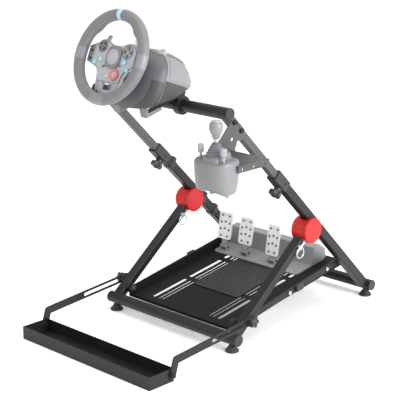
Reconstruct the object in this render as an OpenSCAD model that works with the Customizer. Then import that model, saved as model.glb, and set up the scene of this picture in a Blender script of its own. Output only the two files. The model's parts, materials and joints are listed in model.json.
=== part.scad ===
// Foldable racing-wheel stand with its wheel, shifter and pedals.
// X is the driver's right, Y points away from the driver and Z is up.
// The floor is at Z = 0 and the origin is under the middle of the rig's outer box.
// Inside the modules, y = 0 is the front floor tube and x = 0 is the stand's middle.

/* [Stand frame] */
// Distance from the stand's middle to the middle of each post and leg
post_x = 227; // [200:1:280]
// Diameter of the three cross tubes
cross_tube_d = 32; // [26:1:36]
// Length of each cross tube
cross_tube_len = 500; // [480:1:640]
// Wall of the cross tubes
cross_tube_wall = 1.6; // [1:0.1:3]
// Height of the floor tubes' axes
tube_axis_z = 36; // [30:1:50]
// Distance from the front floor tube to the rear one
rear_tube_y = 603; // [540:1:720]
// Diameter of a foot's head
foot_d = 38; // [30:1:50]
// Height of a foot's head
foot_head_h = 12; // [8:1:16]
// Diameter of a foot's neck
foot_neck_d = 15; // [10:1:20]

/* [Posts and legs] */
// Slope of the posts from the floor
post_angle = 44.5; // [40:0.5:50]
// Width of a lower post, along X
post_w = 27.2; // [24:0.2:32]
// Depth of a lower post
post_h = 26; // [24:0.2:32]
// Wall of the post and leg tubes
post_wall = 1.8; // [1.2:0.1:2.5]
// Length of a lower post
lower_post_len = 590; // [520:1:680]
// Length from the foot of a lower post to the top cross tube
top_tube_along = 876; // [800:1:1000]
// Clearance all round between an upper post and the lower one
post_slip = 0.4; // [0.2:0.1:1]
// Length of an upper post that stays inside the lower one
post_insert = 120; // [80:1:140]
// Width of a front leg, along X
leg_w = 28.4; // [24:0.2:32]
// Depth of a front leg
leg_h = 22.2; // [18:0.2:26]

/* [Hinge] */
// Distance from the foot of a lower post to the hinge, along the post
hinge_along = 356.6; // [320:1:400]
// Distance from a post's axis to the hinge's axis
hinge_drop = 29.5; // [27:0.5:34]
// Radius of a hinge drum
hinge_r = 36; // [33:0.5:42]
// Thickness of each outer cheek of a hinge drum
cheek_t = 12.4; // [9:0.1:16]
// Diameter of the hinge bolt
hinge_bolt_d = 12; // [8:1:16]
// Clearance between a hub and each cheek
hub_gap = 0.5; // [0.3:0.1:1]

/* [Pedal deck] */
// Distance from the front floor tube to the deck's pivot, along the leg
deck_pivot_along = 46; // [42:1:60]
// Slope of the deck
deck_tilt = 8; // [6:0.5:10]
// Distance from the pivot down to the top of the pedal plate
deck_drop = 14.8; // [13:0.2:18]
// Length of the pedal plate
plate_len = 510; // [470:1:540]
// Length of the plate in front of the pivot
plate_nose = 8; // [5:1:12]
// Thickness of the pedal plate's sheet
plate_t = 2; // [1.5:0.1:4]
// Height of the plate's side flanges above its top
flange_h = 20; // [18:0.5:24]
// Thickness of the side rails
rail_t = 6; // [4:0.5:7]
// Height of the side rails
rail_h = 18; // [14:1:20]
// Distance from the foot of a lower post to the pin that holds the deck
rail_pin_along = 124.8; // [110:1:140]
// Diameter of the pins that the rails hook over
rail_pin_d = 10; // [8:1:12]

/* [Stop tray] */
// Distance from the front floor tube to the middle of the tray
tray_y = -288.5; // [-340:1:-240]
// Depth of the tray, front to back
tray_depth = 87; // [70:1:100]
// Height of the tray
tray_h = 36; // [24:1:40]
// Thickness of the tray's sheet
tray_t = 2.5; // [1.5:0.1:4]
// Thickness of a tray arm
arm_t = 4; // [3:0.5:6]
// Width of a tray arm
arm_w = 22; // [18:1:26]
// Length of the slot in a tray arm
arm_slot = 150; // [100:1:170]
// Width of the slot in a tray arm
arm_slot_w = 11; // [9:0.5:13]

/* [Controls of the stand] */
// Diameter of the clamp screws in the knobs
stud_d = 8; // [6:1:10]
// Radius of the star knobs under the posts
star_r = 19; // [15:1:22]
// Radius of the knobs at the tray arms
arm_knob_r = 17; // [14:1:20]
// Radius of the small knobs at the pedal plate
plate_knob_r = 11; // [9:0.5:12]
// Distance from the front floor tube to the lock pins, along the leg
lock_pin_along = 328; // [300:1:334]

/* [Wheel mount] */
// Slope of the wheel plate
wheel_plate_tilt = 14.2; // [5:0.1:20]
// Distance from the top tube's axis to the top of the wheel plate
wheel_plate_rise = 35; // [30:0.5:40]
// Width of the wheel plate
wheel_plate_w = 190; // [180:1:260]
// Length of the wheel plate
wheel_plate_len = 116; // [105:1:150]
// Thickness of the wheel plate
wheel_plate_t = 4; // [3:0.5:6]

/* [Wheel] */
// Slope of the steering axis
steer_tilt = 23.1; // [15:0.1:35]
// Position of the rim's middle, along Y
rim_y = -214; // [-240:1:-200]
// Height of the rim's middle
rim_z = 797; // [790:1:830]
// Radius of the rim, at the middle of its section
rim_r = 110.5; // [105:0.5:125]
// Radius of the rim's section
rim_section_r = 15.5; // [13:0.5:17]
// Thickness of the spoke plate
spoke_t = 6; // [4:0.5:8]
// Distance from the rim's middle back to the face of the hub
hub_set_back = 13.5; // [8:0.5:16]
// Radius of the wheel base's shell
base_r = 95; // [88:1:104]
// Travel of a button
button_travel = 1.2; // [0.8:0.1:1.6]
// Diameter of the steering shaft
shaft_d = 16; // [12:1:20]

/* [Shifter] */
// Width of the shifter shelf, along X
shelf_w = 126; // [118:1:160]
// Depth of the shifter shelf, along Y
shelf_d = 116; // [100:1:140]
// Height of the shifter shelf
shelf_z = 563; // [558:1:570]
// Position of the shelf's front edge, along Y
shelf_front_y = -140; // [-150:1:-132]
// Thickness of the shelf's sheet
shelf_t = 3; // [2:0.5:4]
// Width of the shifter's body
shifter_w = 112; // [90:1:116]
// Depth of the shifter's body
shifter_d = 92; // [74:1:98]
// Height of the shifter's body below the shelf's top
shifter_drop = 74; // [60:1:84]

/* [Pedals] */
// Width of the pedal unit
pedal_unit_w = 330; // [310:1:340]
// Radius of a pedal's pivot pin
pedal_pin_r = 3; // [2.5:0.5:4]
// Width of a pedal face
pedal_face_w = 54; // [44:1:58]
// Distance from a pedal's pivot to the top of its face
pedal_len = 108; // [96:1:120]
// Lean of the pedals from the plate's normal
pedal_lean = 18; // [12:1:20]

/* [Hidden] */
$fn = 64;

// Clearances that several joints share
run_fit = 0.05;
gap = 0.3;

tube_r = cross_tube_d / 2;
stud_r = stud_d / 2;

// Posts: local Z runs up the post, local Y is the normal that points up and back
post_rot = 90 - post_angle;
saddle_y = 6.9;
saddle_z = -21.3;
post_foot_y = rear_tube_y + saddle_z * cos(post_angle) - saddle_y * sin(post_angle);
post_foot_z = tube_axis_z - saddle_z * sin(post_angle) - saddle_y * cos(post_angle);
function on_post(along, off) = [
    post_foot_y - along * cos(post_angle) + off * sin(post_angle),
    post_foot_z + along * sin(post_angle) + off * cos(post_angle)];
upper_w = post_w - 2 * (post_wall + post_slip);
upper_h = post_h - 2 * (post_wall + post_slip);
upper_wall = 1.6;
sleeve_t = 3;
sleeve_len = 62;
knob_along = lower_post_len - 42;
knob_boss_h = 9;

// Hinge and legs: local Z runs up the leg, local Y is the normal that points down and back
hinge = on_post(hinge_along, -hinge_drop);
leg_angle = atan2(hinge[1] - tube_axis_z, hinge[0]);
leg_len = norm([hinge[0], hinge[1] - tube_axis_z]);
leg_rot = leg_angle - 90;
function on_leg(along, off) = [
    along * cos(leg_angle) + off * sin(leg_angle),
    tube_axis_z + along * sin(leg_angle) - off * cos(leg_angle)];
leg_out_x = post_x + leg_w / 2;
leg_in_x = post_x - leg_w / 2;
leg_end_gap = 1.2;
pin_r = 4;
drum_out_x = post_x + post_w / 2 + cheek_t;
drum_in_x = post_x - post_w / 2 - cheek_t;

// Pedal deck: local origin at its pivot, local Y along the plate, local Z its normal
deck_pivot = on_leg(deck_pivot_along, 0);
function deck_of(p) = [
    (p[0] - deck_pivot[0]) * cos(deck_tilt) + (p[1] - deck_pivot[1]) * sin(deck_tilt),
    -(p[0] - deck_pivot[0]) * sin(deck_tilt) + (p[1] - deck_pivot[1]) * cos(deck_tilt)];
rail_pin = on_post(rail_pin_along, 0);
rail_end = deck_of(rail_pin);
rail_front_z = -8.5;
rail_out_x = post_x - max(leg_w, post_w) / 2 - 2.3;
rail_in_x = rail_out_x - rail_t;
flange_t = plate_t;
plate_half = rail_in_x;

// Tray and its arms
arm_in_x = leg_out_x + 7.8;
tray_half = arm_in_x;
arm_pivot_along = 65;
arm_pivot_off = -4;
arm_pivot = on_leg(arm_pivot_along, arm_pivot_off);
arm_bend = [tray_y + tray_depth / 2 + 5.5, tray_h + 21];
arm_tip = [tray_y + tray_depth / 2 - 7, tray_h / 2];
arm_slope = atan2(arm_pivot[1] - arm_bend[1], arm_pivot[0] - arm_bend[0]);
arm_knob_h = 13.5;
knob_boss_t = 2.5;
knob_gap = 0.6;
knob_out_x = arm_in_x + arm_t + knob_gap + arm_knob_h + knob_boss_t;

// Wheel plate: local origin on the top tube's axis, local Y along the plate
top_tube = on_post(top_tube_along, 0);

// Steering: local Z points from the rim to the base, local Y is up in the rim's plane
base_axis_drop = 30;
seam_s = 118;
shell_t = 3;
shaft_start = 16;
pulley_s = 170;
pulley_r = 34;
motor_pulley_r = 8.5;
motor_offset = 58;
belt_w = 8;
belt_t = 1.5;

// Buttons stand proud of the hub's cover
hub_face_s = hub_set_back - 3;
cover_t = 3;

// The bracket's side plate lies on the outer face of the right upper post
side_plate_t = 3;
side_plate_in_x = post_x + upper_w / 2;
shelf_in_x = side_plate_in_x + side_plate_t;

// Where the origin lies in the stand's own layout
right_end_x = shelf_in_x + shelf_w;
left_end_x = -knob_out_x;
rear_end_y = rear_tube_y + foot_d / 2;
front_end_y = tray_y - tray_depth / 2;
x_shift = -(right_end_x + left_end_x) / 2;
y_shift = -(rear_end_y + front_end_y) / 2;

module placed() translate([x_shift, y_shift, 0]) children();
// A frame at point p of the stand's middle plane, tipped about X
module tipped(p, angle) placed() translate([0, p[0], p[1]]) rotate([angle, 0, 0]) children();
module at_post() tipped([post_foot_y, post_foot_z], post_rot) children();
module at_leg() tipped([0, tube_axis_z], leg_rot) children();
module at_deck() tipped(deck_pivot, deck_tilt) children();
module at_pedals() at_deck() translate([0, -plate_nose, -deck_drop]) children();
module at_top_tube() tipped(top_tube, wheel_plate_tilt) children();
module at_wheel() tipped([rim_y, rim_z], -90 - steer_tilt) mirror([0, 1, 0]) children();

// A rod along X from x0 to x1, at (y, z)
module rod_x(x0, x1, r, y = 0, z = 0) translate([x0, y, z]) rotate([0, 90, 0])
    cylinder(h = x1 - x0, r = r);
// A profile drawn in (Y, Z) and extruded along X from x0 to x1
module slab_x(x0, x1) translate([x0, 0, 0]) rotate([90, 0, 90]) linear_extrude(x1 - x0) children();
// A round-cornered rectangle centred on the origin, made of true arcs
module rounded(w, h, r) {
    square([w - 2 * r, h], center = true);
    square([w, h - 2 * r], center = true);
    for (i = [-1, 1], j = [-1, 1]) translate([i * (w / 2 - r), j * (h / 2 - r)]) circle(r);
}
// A slot with round ends from a to b; its middle is a hair narrower, so no edge is tangent
module slot(a, b, w) {
    d = b - a;
    middle_w = w - 0.02;
    translate(a) rotate(atan2(d[1], d[0])) translate([0, -middle_w / 2]) square([norm(d), middle_w]);
    translate(a) circle(w / 2);
    translate(b) circle(w / 2);
}
// A hollow tube of rectangular section with rounded corners, from z0 to z1
module box_tube(w, h, wall, z0, z1) translate([0, 0, z0]) linear_extrude(z1 - z0) difference() {
    rounded(w, h, 3);
    rounded(w - 2 * wall, h - 2 * wall, 1.5);
}
module both_sides() {
    children();
    mirror([1, 0, 0]) children();
}
// A clamp knob whose screw runs along -Z from its face at z = 0
module star_knob(r, h, lobes, stud_len, boss_r = 7) {
    difference() {
        union() {
            cylinder(h = h, r = r);
            translate([0, 0, h]) cylinder(h = knob_boss_t, r = boss_r);
        }
        for (i = [0:lobes - 1]) rotate(360 / lobes * (i + 0.5)) translate([r * 1.12, 0, -1])
            cylinder(h = h + 2, r = r * 0.34);
    }
    translate([0, 0, -stud_len]) cylinder(h = stud_len + 1, r = stud_r);
}

// ---------- Rear frame ----------

// A cross tube with a plug in each end
tube_plug_t = 3;
module tube_at(y, z) color("#1d1e20") difference() {
    bore_half = cross_tube_len / 2 - tube_plug_t;
    rod_x(-cross_tube_len / 2, cross_tube_len / 2, tube_r, y, z);
    rod_x(-bore_half, bore_half, tube_r - cross_tube_wall, y, z);
}

module lower_posts() color("#1d1e20") {
    at_post() both_sides() {
        difference() {
            translate([post_x, 0, 0]) box_tube(post_w, post_h, post_wall, -12, lower_post_len);
            rod_x(post_x - 40, post_x + 40, tube_r, saddle_y, saddle_z);
            translate([post_x, 0, knob_along]) rotate([90, 0, 0])
                cylinder(h = post_h, r = stud_r + run_fit);
        }
        translate([0, 0, rail_pin_along]) rod_x(rail_in_x + 0.5, post_x - post_w / 2, rail_pin_d / 2);
    }
}

module rear_cross_tube() placed() tube_at(rear_tube_y, tube_axis_z);

module feet_at(y) color("#17181a") both_sides() difference() {
    translate([post_x, y, 0]) {
        cylinder(h = foot_head_h - 3, r = foot_d / 2);
        translate([0, 0, foot_head_h - 3]) cylinder(h = 3, r1 = foot_d / 2, r2 = foot_d / 2 - 4);
        cylinder(h = tube_axis_z, r = foot_neck_d / 2);
    }
    rod_x(post_x - 40, post_x + 40, tube_r, y, tube_axis_z);
}

module rear_feet() placed() feet_at(rear_tube_y);

module drum_axis() translate([0, -hinge_drop, hinge_along]) children();

disc_r = hinge_r - 6;
disc_depth = 2.5;
disc_t = 2;
module hinge_housings() color("#d8262a") at_post() both_sides() drum_axis() difference() {
    union() {
        rod_x(post_x + post_w / 2, drum_out_x, hinge_r);
        rod_x(drum_in_x, post_x - post_w / 2, hinge_r);
    }
    rod_x(post_x - 60, post_x + 60, hinge_bolt_d / 2);
    rod_x(drum_out_x - disc_depth, drum_out_x + 1, disc_r);
    rod_x(drum_in_x - 1, drum_in_x + disc_depth, disc_r);
}

// A bolt with a disc on each end that fills the recess of its cheek
module hinge_bolts() color("#e5403f") at_post() both_sides() drum_axis() {
    rod_x(drum_in_x + 1, drum_out_x - 1, hinge_bolt_d / 2);
    rod_x(drum_out_x - disc_depth, drum_out_x - disc_depth + disc_t, disc_r);
    rod_x(drum_in_x + disc_depth - disc_t, drum_in_x + disc_depth, disc_r);
}

module post_sleeves() color("#141517") at_post() both_sides() difference() {
    union() {
        translate([post_x, 0, lower_post_len - sleeve_len + 3]) linear_extrude(sleeve_len)
            rounded(post_w + 2 * sleeve_t, post_h + 2 * sleeve_t, 4);
        translate([post_x, -post_h / 2 - sleeve_t + 1, knob_along]) rotate([90, 0, 0])
            cylinder(h = knob_boss_h + 1, r = 11);
    }
    translate([post_x, 0, lower_post_len - sleeve_len]) linear_extrude(sleeve_len)
        rounded(post_w, post_h, 3);
    translate([post_x, 0, lower_post_len - 1]) linear_extrude(10)
        rounded(upper_w + 2 * gap, upper_h + 2 * gap, 3);
    translate([post_x, 0, knob_along]) rotate([90, 0, 0]) cylinder(h = 60, r = stud_r + run_fit);
}

// ---------- Front legs ----------

module front_legs() color("#1d1e20") at_leg() both_sides() difference() {
    translate([post_x, 0, 0]) box_tube(leg_w, leg_h, post_wall, 2, leg_len - hinge_r - leg_end_gap);
    rod_x(post_x - 40, post_x + 40, tube_r, 0, 0);
    rod_x(post_x - 40, post_x, stud_r + run_fit, 0, deck_pivot_along);
    rod_x(post_x - 40, post_x + 40, stud_r + run_fit, arm_pivot_off, arm_pivot_along);
    rod_x(post_x - 40, post_x + 40, pin_r + run_fit, 0, lock_pin_along);
}

module front_cross_tube() placed() tube_at(0, tube_axis_z);
module front_feet() placed() feet_at(0);

hub_r = hinge_r - 0.5;
hub_half_w = post_w / 2 - hub_gap;
hub_in_leg = 52;
// The hub fills the drum on the side that stays clear of the post through the whole fold
module hinge_hubs() color("#c92226") placed() both_sides() difference() {
    union() {
        intersection() {
            rod_x(post_x - hub_half_w, post_x + hub_half_w, hub_r, hinge[0], hinge[1]);
            slab_x(post_x - hub_half_w, post_x + hub_half_w) translate(hinge) rotate(leg_angle)
                polygon([[0, 0], [14, 60], [-60, 60], [-60, -54]]);
        }
        rod_x(post_x - hub_half_w, post_x + hub_half_w, 15.5, hinge[0], hinge[1]);
        translate([post_x, hinge[0], hinge[1]]) rotate([leg_rot, 0, 0]) translate([0, 0, -hub_in_leg])
            linear_extrude(hub_in_leg - 20)
                square([leg_w - 2 * post_wall - 3, leg_h - 2 * post_wall], center = true);
    }
    rod_x(post_x - 60, post_x + 60, hinge_bolt_d / 2 + run_fit, hinge[0], hinge[1]);
}

// ---------- Pedal deck ----------

// Rows of bolt slots, as [start, end] along the plate
slot_rows = [[24, 160], [177, 314], [332, 402], [433, 463]];
// Columns of bolt slots, as [distance from the middle, width]
slot_cols = [[127, 12], [106, 5.5], [93, 5.5]];

module pedal_plate() color("#202124") at_pedals() difference() {
    union() {
        translate([-plate_half, 0, -plate_t]) cube([2 * plate_half, plate_len, plate_t]);
        both_sides() translate([plate_half - flange_t, 0, -plate_t])
            cube([flange_t, rail_end[0] - 24, flange_h + plate_t]);
        translate([-plate_half, -plate_t, -9]) cube([2 * plate_half, plate_t, 9]);
    }
    for (col = slot_cols, row = slot_rows, side = [-1, 1])
        let (x = side * col[0], r = col[1] / 2)
            translate([0, 0, -plate_t - 1]) linear_extrude(plate_t + 2)
                slot([x, row[0] + r], [x, row[1] - r], 2 * r);
    rod_x(-plate_half - 1, plate_half + 1, stud_r + run_fit, plate_nose, deck_drop);
}

// The rails hook over the rear pins; their mouths open the way the deck leaves them
hook_r = rail_h / 2 + 6;
module rail_shape() difference() {
    union() {
        slot([0, rail_front_z], rail_end, rail_h);
        circle(13);
        translate(rail_end) circle(hook_r);
    }
    circle(stud_r + run_fit);
    translate(rail_end) circle(rail_pin_d / 2 + 0.4);
    for (a = [-82, -98, -114, -132] - [1, 1, 1, 1] * deck_tilt)
        translate(rail_end) rotate(a) translate([0, -rail_pin_d / 2 - 0.4]) square([40, rail_pin_d + 0.8]);
}
module side_rails() color("#232427") at_deck() both_sides() slab_x(rail_in_x, rail_out_x) rail_shape();

mat_w = 176;
mat_start = 146;
mat_end = 340;
module heel_mat() color("#161718") at_pedals() translate([0, (mat_start + mat_end) / 2, 0])
    linear_extrude(2) rounded(mat_w, mat_end - mat_start, 8);

plate_knob_gap = 1;
module plate_knob(side) color("#141516") at_deck() mirror([side < 0 ? 1 : 0, 0, 0])
    translate([plate_half - flange_t - plate_knob_gap, 0, 0]) rotate([0, -90, 0])
        star_knob(plate_knob_r, 11, 8, leg_in_x + 8 - plate_half + flange_t + plate_knob_gap, 6);
module plate_knob_left() plate_knob(-1);
module plate_knob_right() plate_knob(1);

// ---------- Stop tray ----------

key_half = 10;
module arm_bushes() color("#2b2c2f") placed() both_sides() difference() {
    union() {
        rod_x(leg_out_x + 0.4, arm_in_x - 0.4, 10, arm_pivot[0], arm_pivot[1]);
        slab_x(arm_in_x - 0.4, arm_in_x + arm_t - 0.2) translate(arm_pivot) rotate(arm_slope)
            rounded(2 * key_half, arm_slot_w - 0.8, 3);
    }
    rod_x(leg_out_x - 1, arm_in_x + arm_t + 1, stud_r + run_fit, arm_pivot[0], arm_pivot[1]);
}

module arm_outline() difference() {
    union() {
        slot(arm_bend, arm_pivot + 14 * [cos(arm_slope), sin(arm_slope)], arm_w);
        slot(arm_bend, arm_tip, arm_w);
    }
    slot(arm_pivot + (key_half - 2) * [cos(arm_slope), sin(arm_slope)],
        arm_pivot - arm_slot * [cos(arm_slope), sin(arm_slope)], arm_slot_w);
}
module tray_arms() color("#1c1d1f") placed() both_sides() slab_x(arm_in_x, arm_in_x + arm_t) arm_outline();

module stop_tray() color("#222326") placed() difference() {
    translate([-tray_half, tray_y - tray_depth / 2, 0]) cube([2 * tray_half, tray_depth, tray_h]);
    translate([-tray_half + tray_t, tray_y - tray_depth / 2 + tray_t, tray_t])
        cube([2 * (tray_half - tray_t), tray_depth - 2 * tray_t, tray_h]);
}

module arm_knob(side) color("#121315") placed() mirror([side < 0 ? 1 : 0, 0, 0])
    translate([arm_in_x + arm_t + knob_gap, arm_pivot[0], arm_pivot[1]]) rotate([0, 90, 0])
        star_knob(arm_knob_r, arm_knob_h, 5, arm_t + 34, 9);
module arm_knob_left() arm_knob(-1);
module arm_knob_right() arm_knob(1);

// ---------- Knobs and pins of the posts and legs ----------

module post_knob(side) color("#101113") at_post()
    translate([side * post_x, -post_h / 2 - sleeve_t - knob_boss_h - gap, knob_along])
        rotate([90, 0, 0]) star_knob(star_r, 15, 5, knob_boss_h + sleeve_t + post_wall + gap, 9);
module post_knob_left() post_knob(-1);
module post_knob_right() post_knob(1);

ring_r = 15;
ring_wire = 1.6;
// Each lock pin enters its leg from the +X side and carries a pull ring
module lock_pin(side) color("#b9bcc0") at_leg() translate([side * post_x + leg_w / 2, 0, lock_pin_along]) {
    rod_x(-26, 1.5, pin_r);
    rod_x(0.6, 8, 7);
    rotate([-leg_rot, 0, 0]) translate([5, 0, -ring_r - 1]) rotate([0, 90, 0])
        rotate_extrude() translate([ring_r, 0]) circle(ring_wire);
}
module lock_pin_left() lock_pin(-1);
module lock_pin_right() lock_pin(1);

// ---------- Upper frame ----------

module upper_posts() color("#1b1c1e") at_post() both_sides() difference() {
    translate([post_x, 0, 0])
        box_tube(upper_w, upper_h, upper_wall, lower_post_len - post_insert, top_tube_along - 2);
    rod_x(post_x - 40, post_x + 40, tube_r, 0, top_tube_along);
}

module top_cross_tube() placed() tube_at(top_tube[0], top_tube[1]);

plate_top = on_post(top_tube_along - 26, -upper_h / 2);
plate_top_rear = on_post(top_tube_along - 26, upper_h / 2);
plate_low_rear = on_post(top_tube_along - 84, upper_h / 2);
plate_notch = on_post(top_tube_along - 96, -upper_h / 2 + 4);
side_bolts = [on_post(top_tube_along - 38, 0), on_post(top_tube_along - 74, 0)];
lip_h = 17;
lip_z = shelf_z - lip_h / 2 - 1;
lip_hole_step = 42;
hole_r = 3.2;
// Lightening holes of the side plate, as [forward of the post's axis, along the post, radius]
light_holes = [[29, 92, 9.5], [36, 62, 5], [60, 92, 5]];
shelf_hole_dx = 64;
shelf_hole_dy = 60;
shelf_hole_r = 3.25;
shelf_mid_x = shelf_in_x + shelf_w / 2;
shelf_mid_y = shelf_front_y + shelf_d / 2;
shelf_rear_y = shelf_front_y + shelf_d;
shelf_hole_y = shelf_mid_y + 12;
module side_hole(p, r) rod_x(side_plate_in_x - 1, shelf_in_x + 1, r, p[0], p[1]);
module shifter_bracket() color("#4a4b4e") placed() {
    difference() {
        slab_x(side_plate_in_x, shelf_in_x)
            polygon([plate_top, plate_top_rear, plate_low_rear, plate_notch,
                [shelf_rear_y + 14, shelf_z + 6], [shelf_rear_y + 14, shelf_z - 12],
                [shelf_front_y + 38, shelf_z - 12], [shelf_front_y + 38, shelf_z]]);
        for (h = light_holes) side_hole(on_post(top_tube_along - h[1], -h[0]), h[2]);
        for (p = side_bolts) side_hole(p, hole_r);
    }
    difference() {
        translate([shelf_in_x, shelf_front_y, shelf_z - shelf_t]) cube([shelf_w, shelf_d, shelf_t]);
        for (i = [-1, 1], j = [-1, 1])
            translate([shelf_mid_x + i * shelf_hole_dx / 2, shelf_hole_y + j * shelf_hole_dy / 2, 0])
                cylinder(h = shelf_z + 1, r = shelf_hole_r);
    }
    difference() {
        translate([right_end_x - shelf_t, shelf_front_y, shelf_z - lip_h])
            cube([shelf_t, shelf_d, lip_h - shelf_t]);
        for (j = [-1, 0, 1])
            rod_x(right_end_x - shelf_t - 1, right_end_x + 1, hole_r,
                shelf_mid_y + j * lip_hole_step, lip_z);
    }
}

// ---------- Wheel mount and base ----------

collar_r = tube_r + 9;
plate_front = -100;
module wheel_plate() color("#191a1c") at_top_tube() difference() {
    union() {
        translate([0, plate_front + wheel_plate_len / 2, wheel_plate_rise - wheel_plate_t])
            linear_extrude(wheel_plate_t) rounded(wheel_plate_w, wheel_plate_len, 12);
        both_sides() {
            rod_x(72, 88, collar_r);
            translate([72, -12, 4]) cube([16, 24, wheel_plate_rise - wheel_plate_t - 4]);
        }
    }
    rod_x(-100, 100, tube_r + run_fit);
    for (x = [-62, -20, 20, 62], y = [plate_front + 42, plate_front + 88])
        translate([x, y, 20]) cylinder(h = 30, r = hole_r);
}

// Half profile of the base's shell about the axis, grown outwards by d
module base_profile(d) polygon([[0, seam_s], [base_r + d, seam_s], [base_r + d, seam_s + 74],
    [base_r - 10 + d, seam_s + 104], [base_r - 34 + d, seam_s + 130 + d], [0, seam_s + 140 + d]]);
module above_plate(rise) at_top_tube() translate([-200, -300, wheel_plate_rise + rise])
    cube([400, 600, 400]);

module base_rear_shell() color("#8f9194") difference() {
    intersection() {
        at_wheel() translate([0, -base_axis_drop, 0]) rotate_extrude() base_profile(0);
        above_plate(0);
    }
    intersection() {
        at_wheel() translate([0, -base_axis_drop, 0]) rotate_extrude() base_profile(-shell_t);
        above_plate(shell_t);
    }
    clamp_bores();
}

nose_s = 44;
nose_r = 38;
// The front of the base: a shallow dome with a nose round the shaft, grown outwards by d
module nose_solid(d) at_wheel() {
    translate([0, -base_axis_drop, 0]) rotate_extrude()
        polygon([[0, seam_s - 40 - d], [base_r - 30 + d, seam_s - 40 - d],
            [base_r - 4 + d, seam_s - 16], [base_r + d, seam_s - 8], [base_r + d, seam_s], [0, seam_s]]);
    translate([0, 0, nose_s - d]) cylinder(h = seam_s - 30 - nose_s + d, r = nose_r + d);
}
module base_front_shell() color("#54565a") difference() {
    intersection() {
        nose_solid(0);
        above_plate(0);
    }
    intersection() {
        nose_solid(-shell_t);
        above_plate(shell_t);
    }
    at_wheel() cylinder(h = 90, r = shaft_d / 2 + run_fit);
    clamp_bores();
}

// Two jaws hook under the front edge of the wheel plate
jaw_x = 50;
jaw_w = 22;
jaw_drop = 30;
jaw_t = 9;
module base_clamps() color("#2a2b2e") at_top_tube() both_sides()
    translate([jaw_x - jaw_w / 2, plate_front - jaw_t, wheel_plate_rise - jaw_drop]) {
        cube([jaw_w, jaw_t, jaw_drop]);
        cube([jaw_w, jaw_t + 47, 10]);
        translate([jaw_w / 2, jaw_t + 36, 9]) cylinder(h = jaw_drop - 9 - wheel_plate_t, r = 7);
    }

clamp_knob_y = -5;
clamp_top = wheel_plate_rise + 100;
clamp_r = 5;
clamp_knob_r = 13;
clamp_stem = 24;
// Bores for the clamp screws, and pockets that their knobs sit in
module clamp_bores() at_top_tube() both_sides() translate([jaw_x, clamp_knob_y, clamp_top]) {
    translate([0, 0, -clamp_stem - 3]) cylinder(h = clamp_stem + 10, r = clamp_r + run_fit);
    translate([0, 0, -gap]) cylinder(h = 80, r = clamp_knob_r + gap);
}
module clamp_knob(side) color("#3a3b3e") at_top_tube()
    translate([side * jaw_x, clamp_knob_y, clamp_top]) {
        translate([0, 0, -clamp_stem]) cylinder(h = clamp_stem + 2, r = clamp_r);
        difference() {
            cylinder(h = 14, r = clamp_knob_r);
            for (i = [0:9]) rotate(36 * i) translate([clamp_knob_r + 1, 0, -1]) cylinder(h = 16, r = 1.6);
        }
    }
module clamp_knob_left() clamp_knob(-1);
module clamp_knob_right() clamp_knob(1);

motor_r = 17;
motor_shaft_r = 2;
// The motor sits beside the shaft, so its belt runs along X
module at_motor() at_wheel() rotate(90) translate([0, -motor_offset, 0]) children();
module drive_motor() color("#6d7075") at_motor() {
    translate([0, 0, seam_s + 8]) cylinder(h = pulley_s - belt_w / 2 - 3 - seam_s - 8, r = motor_r);
    translate([0, 0, seam_s + 20])
        cylinder(h = pulley_s + belt_w / 2 + 1 - seam_s - 20, r = motor_shaft_r);
}
module motor_pulley() color("#c9b27a") at_motor() translate([0, 0, pulley_s - belt_w / 2]) difference() {
    cylinder(h = belt_w, r = motor_pulley_r);
    translate([0, 0, -1]) cylinder(h = belt_w + 2, r = motor_shaft_r + run_fit);
}
// Outline of a belt round both pulleys, grown by d: a long run of short flats
belt_tilt = acos((pulley_r - motor_pulley_r) / motor_offset);
belt_step = 2;
function belt_point(r, a, drop) = [r * sin(a), -drop - r * cos(a)];
function belt_line(d) = concat(
    [for (a = [belt_tilt:belt_step:360 - belt_tilt]) belt_point(pulley_r + d, a, 0)],
    [for (a = [-belt_tilt:belt_step:belt_tilt]) belt_point(motor_pulley_r + d, a, motor_offset)]);
module drive_belt() color("#111111") at_wheel() rotate(90) translate([0, 0, pulley_s - belt_w / 2 + 0.5])
    linear_extrude(belt_w - 1) difference() {
        polygon(belt_line(belt_t));
        polygon(belt_line(run_fit));
    }

// ---------- Wheel ----------

module steering_shaft() color("#9a9da1") at_wheel() {
    translate([0, 0, shaft_start]) cylinder(h = pulley_s + 12 - shaft_start, r = shaft_d / 2);
    translate([0, 0, pulley_s - belt_w / 2]) cylinder(h = belt_w, r = pulley_r);
}

module rim_ring() rotate_extrude($fn = 96) translate([rim_r, 0]) circle(rim_section_r);
module rim() color("#3b3c40") at_wheel() rim_ring();

spoke_reach = rim_r - rim_section_r + 3;
// Half outline of the spoke plate
spoke_half = [[14, 34], [34, 42], [50, 44], [66, 37], [spoke_reach, 24],
    [spoke_reach, -16], [78, -22], [56, -30], [48, -44], [46, -62], [40, -88], [20, -97]];
// A half outline followed by its mirror image
function whole(half) = concat(half, [for (i = [len(half) - 1:-1:0]) [-half[i][0], half[i][1]]]);
module spoke_frame() color("#4b4d51") at_wheel() difference() {
    translate([0, 0, hub_set_back]) linear_extrude(spoke_t) difference() {
        polygon(whole(spoke_half));
        translate([0, -74]) rounded(34, 16, 6);
    }
    rim_ring();
    translate([0, 0, -1]) cylinder(h = 80, r = shaft_d / 2);
    for (p = button_places) translate([p[0], p[1], 0]) cylinder(h = 60, r = p[2] + gap);
}

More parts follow.
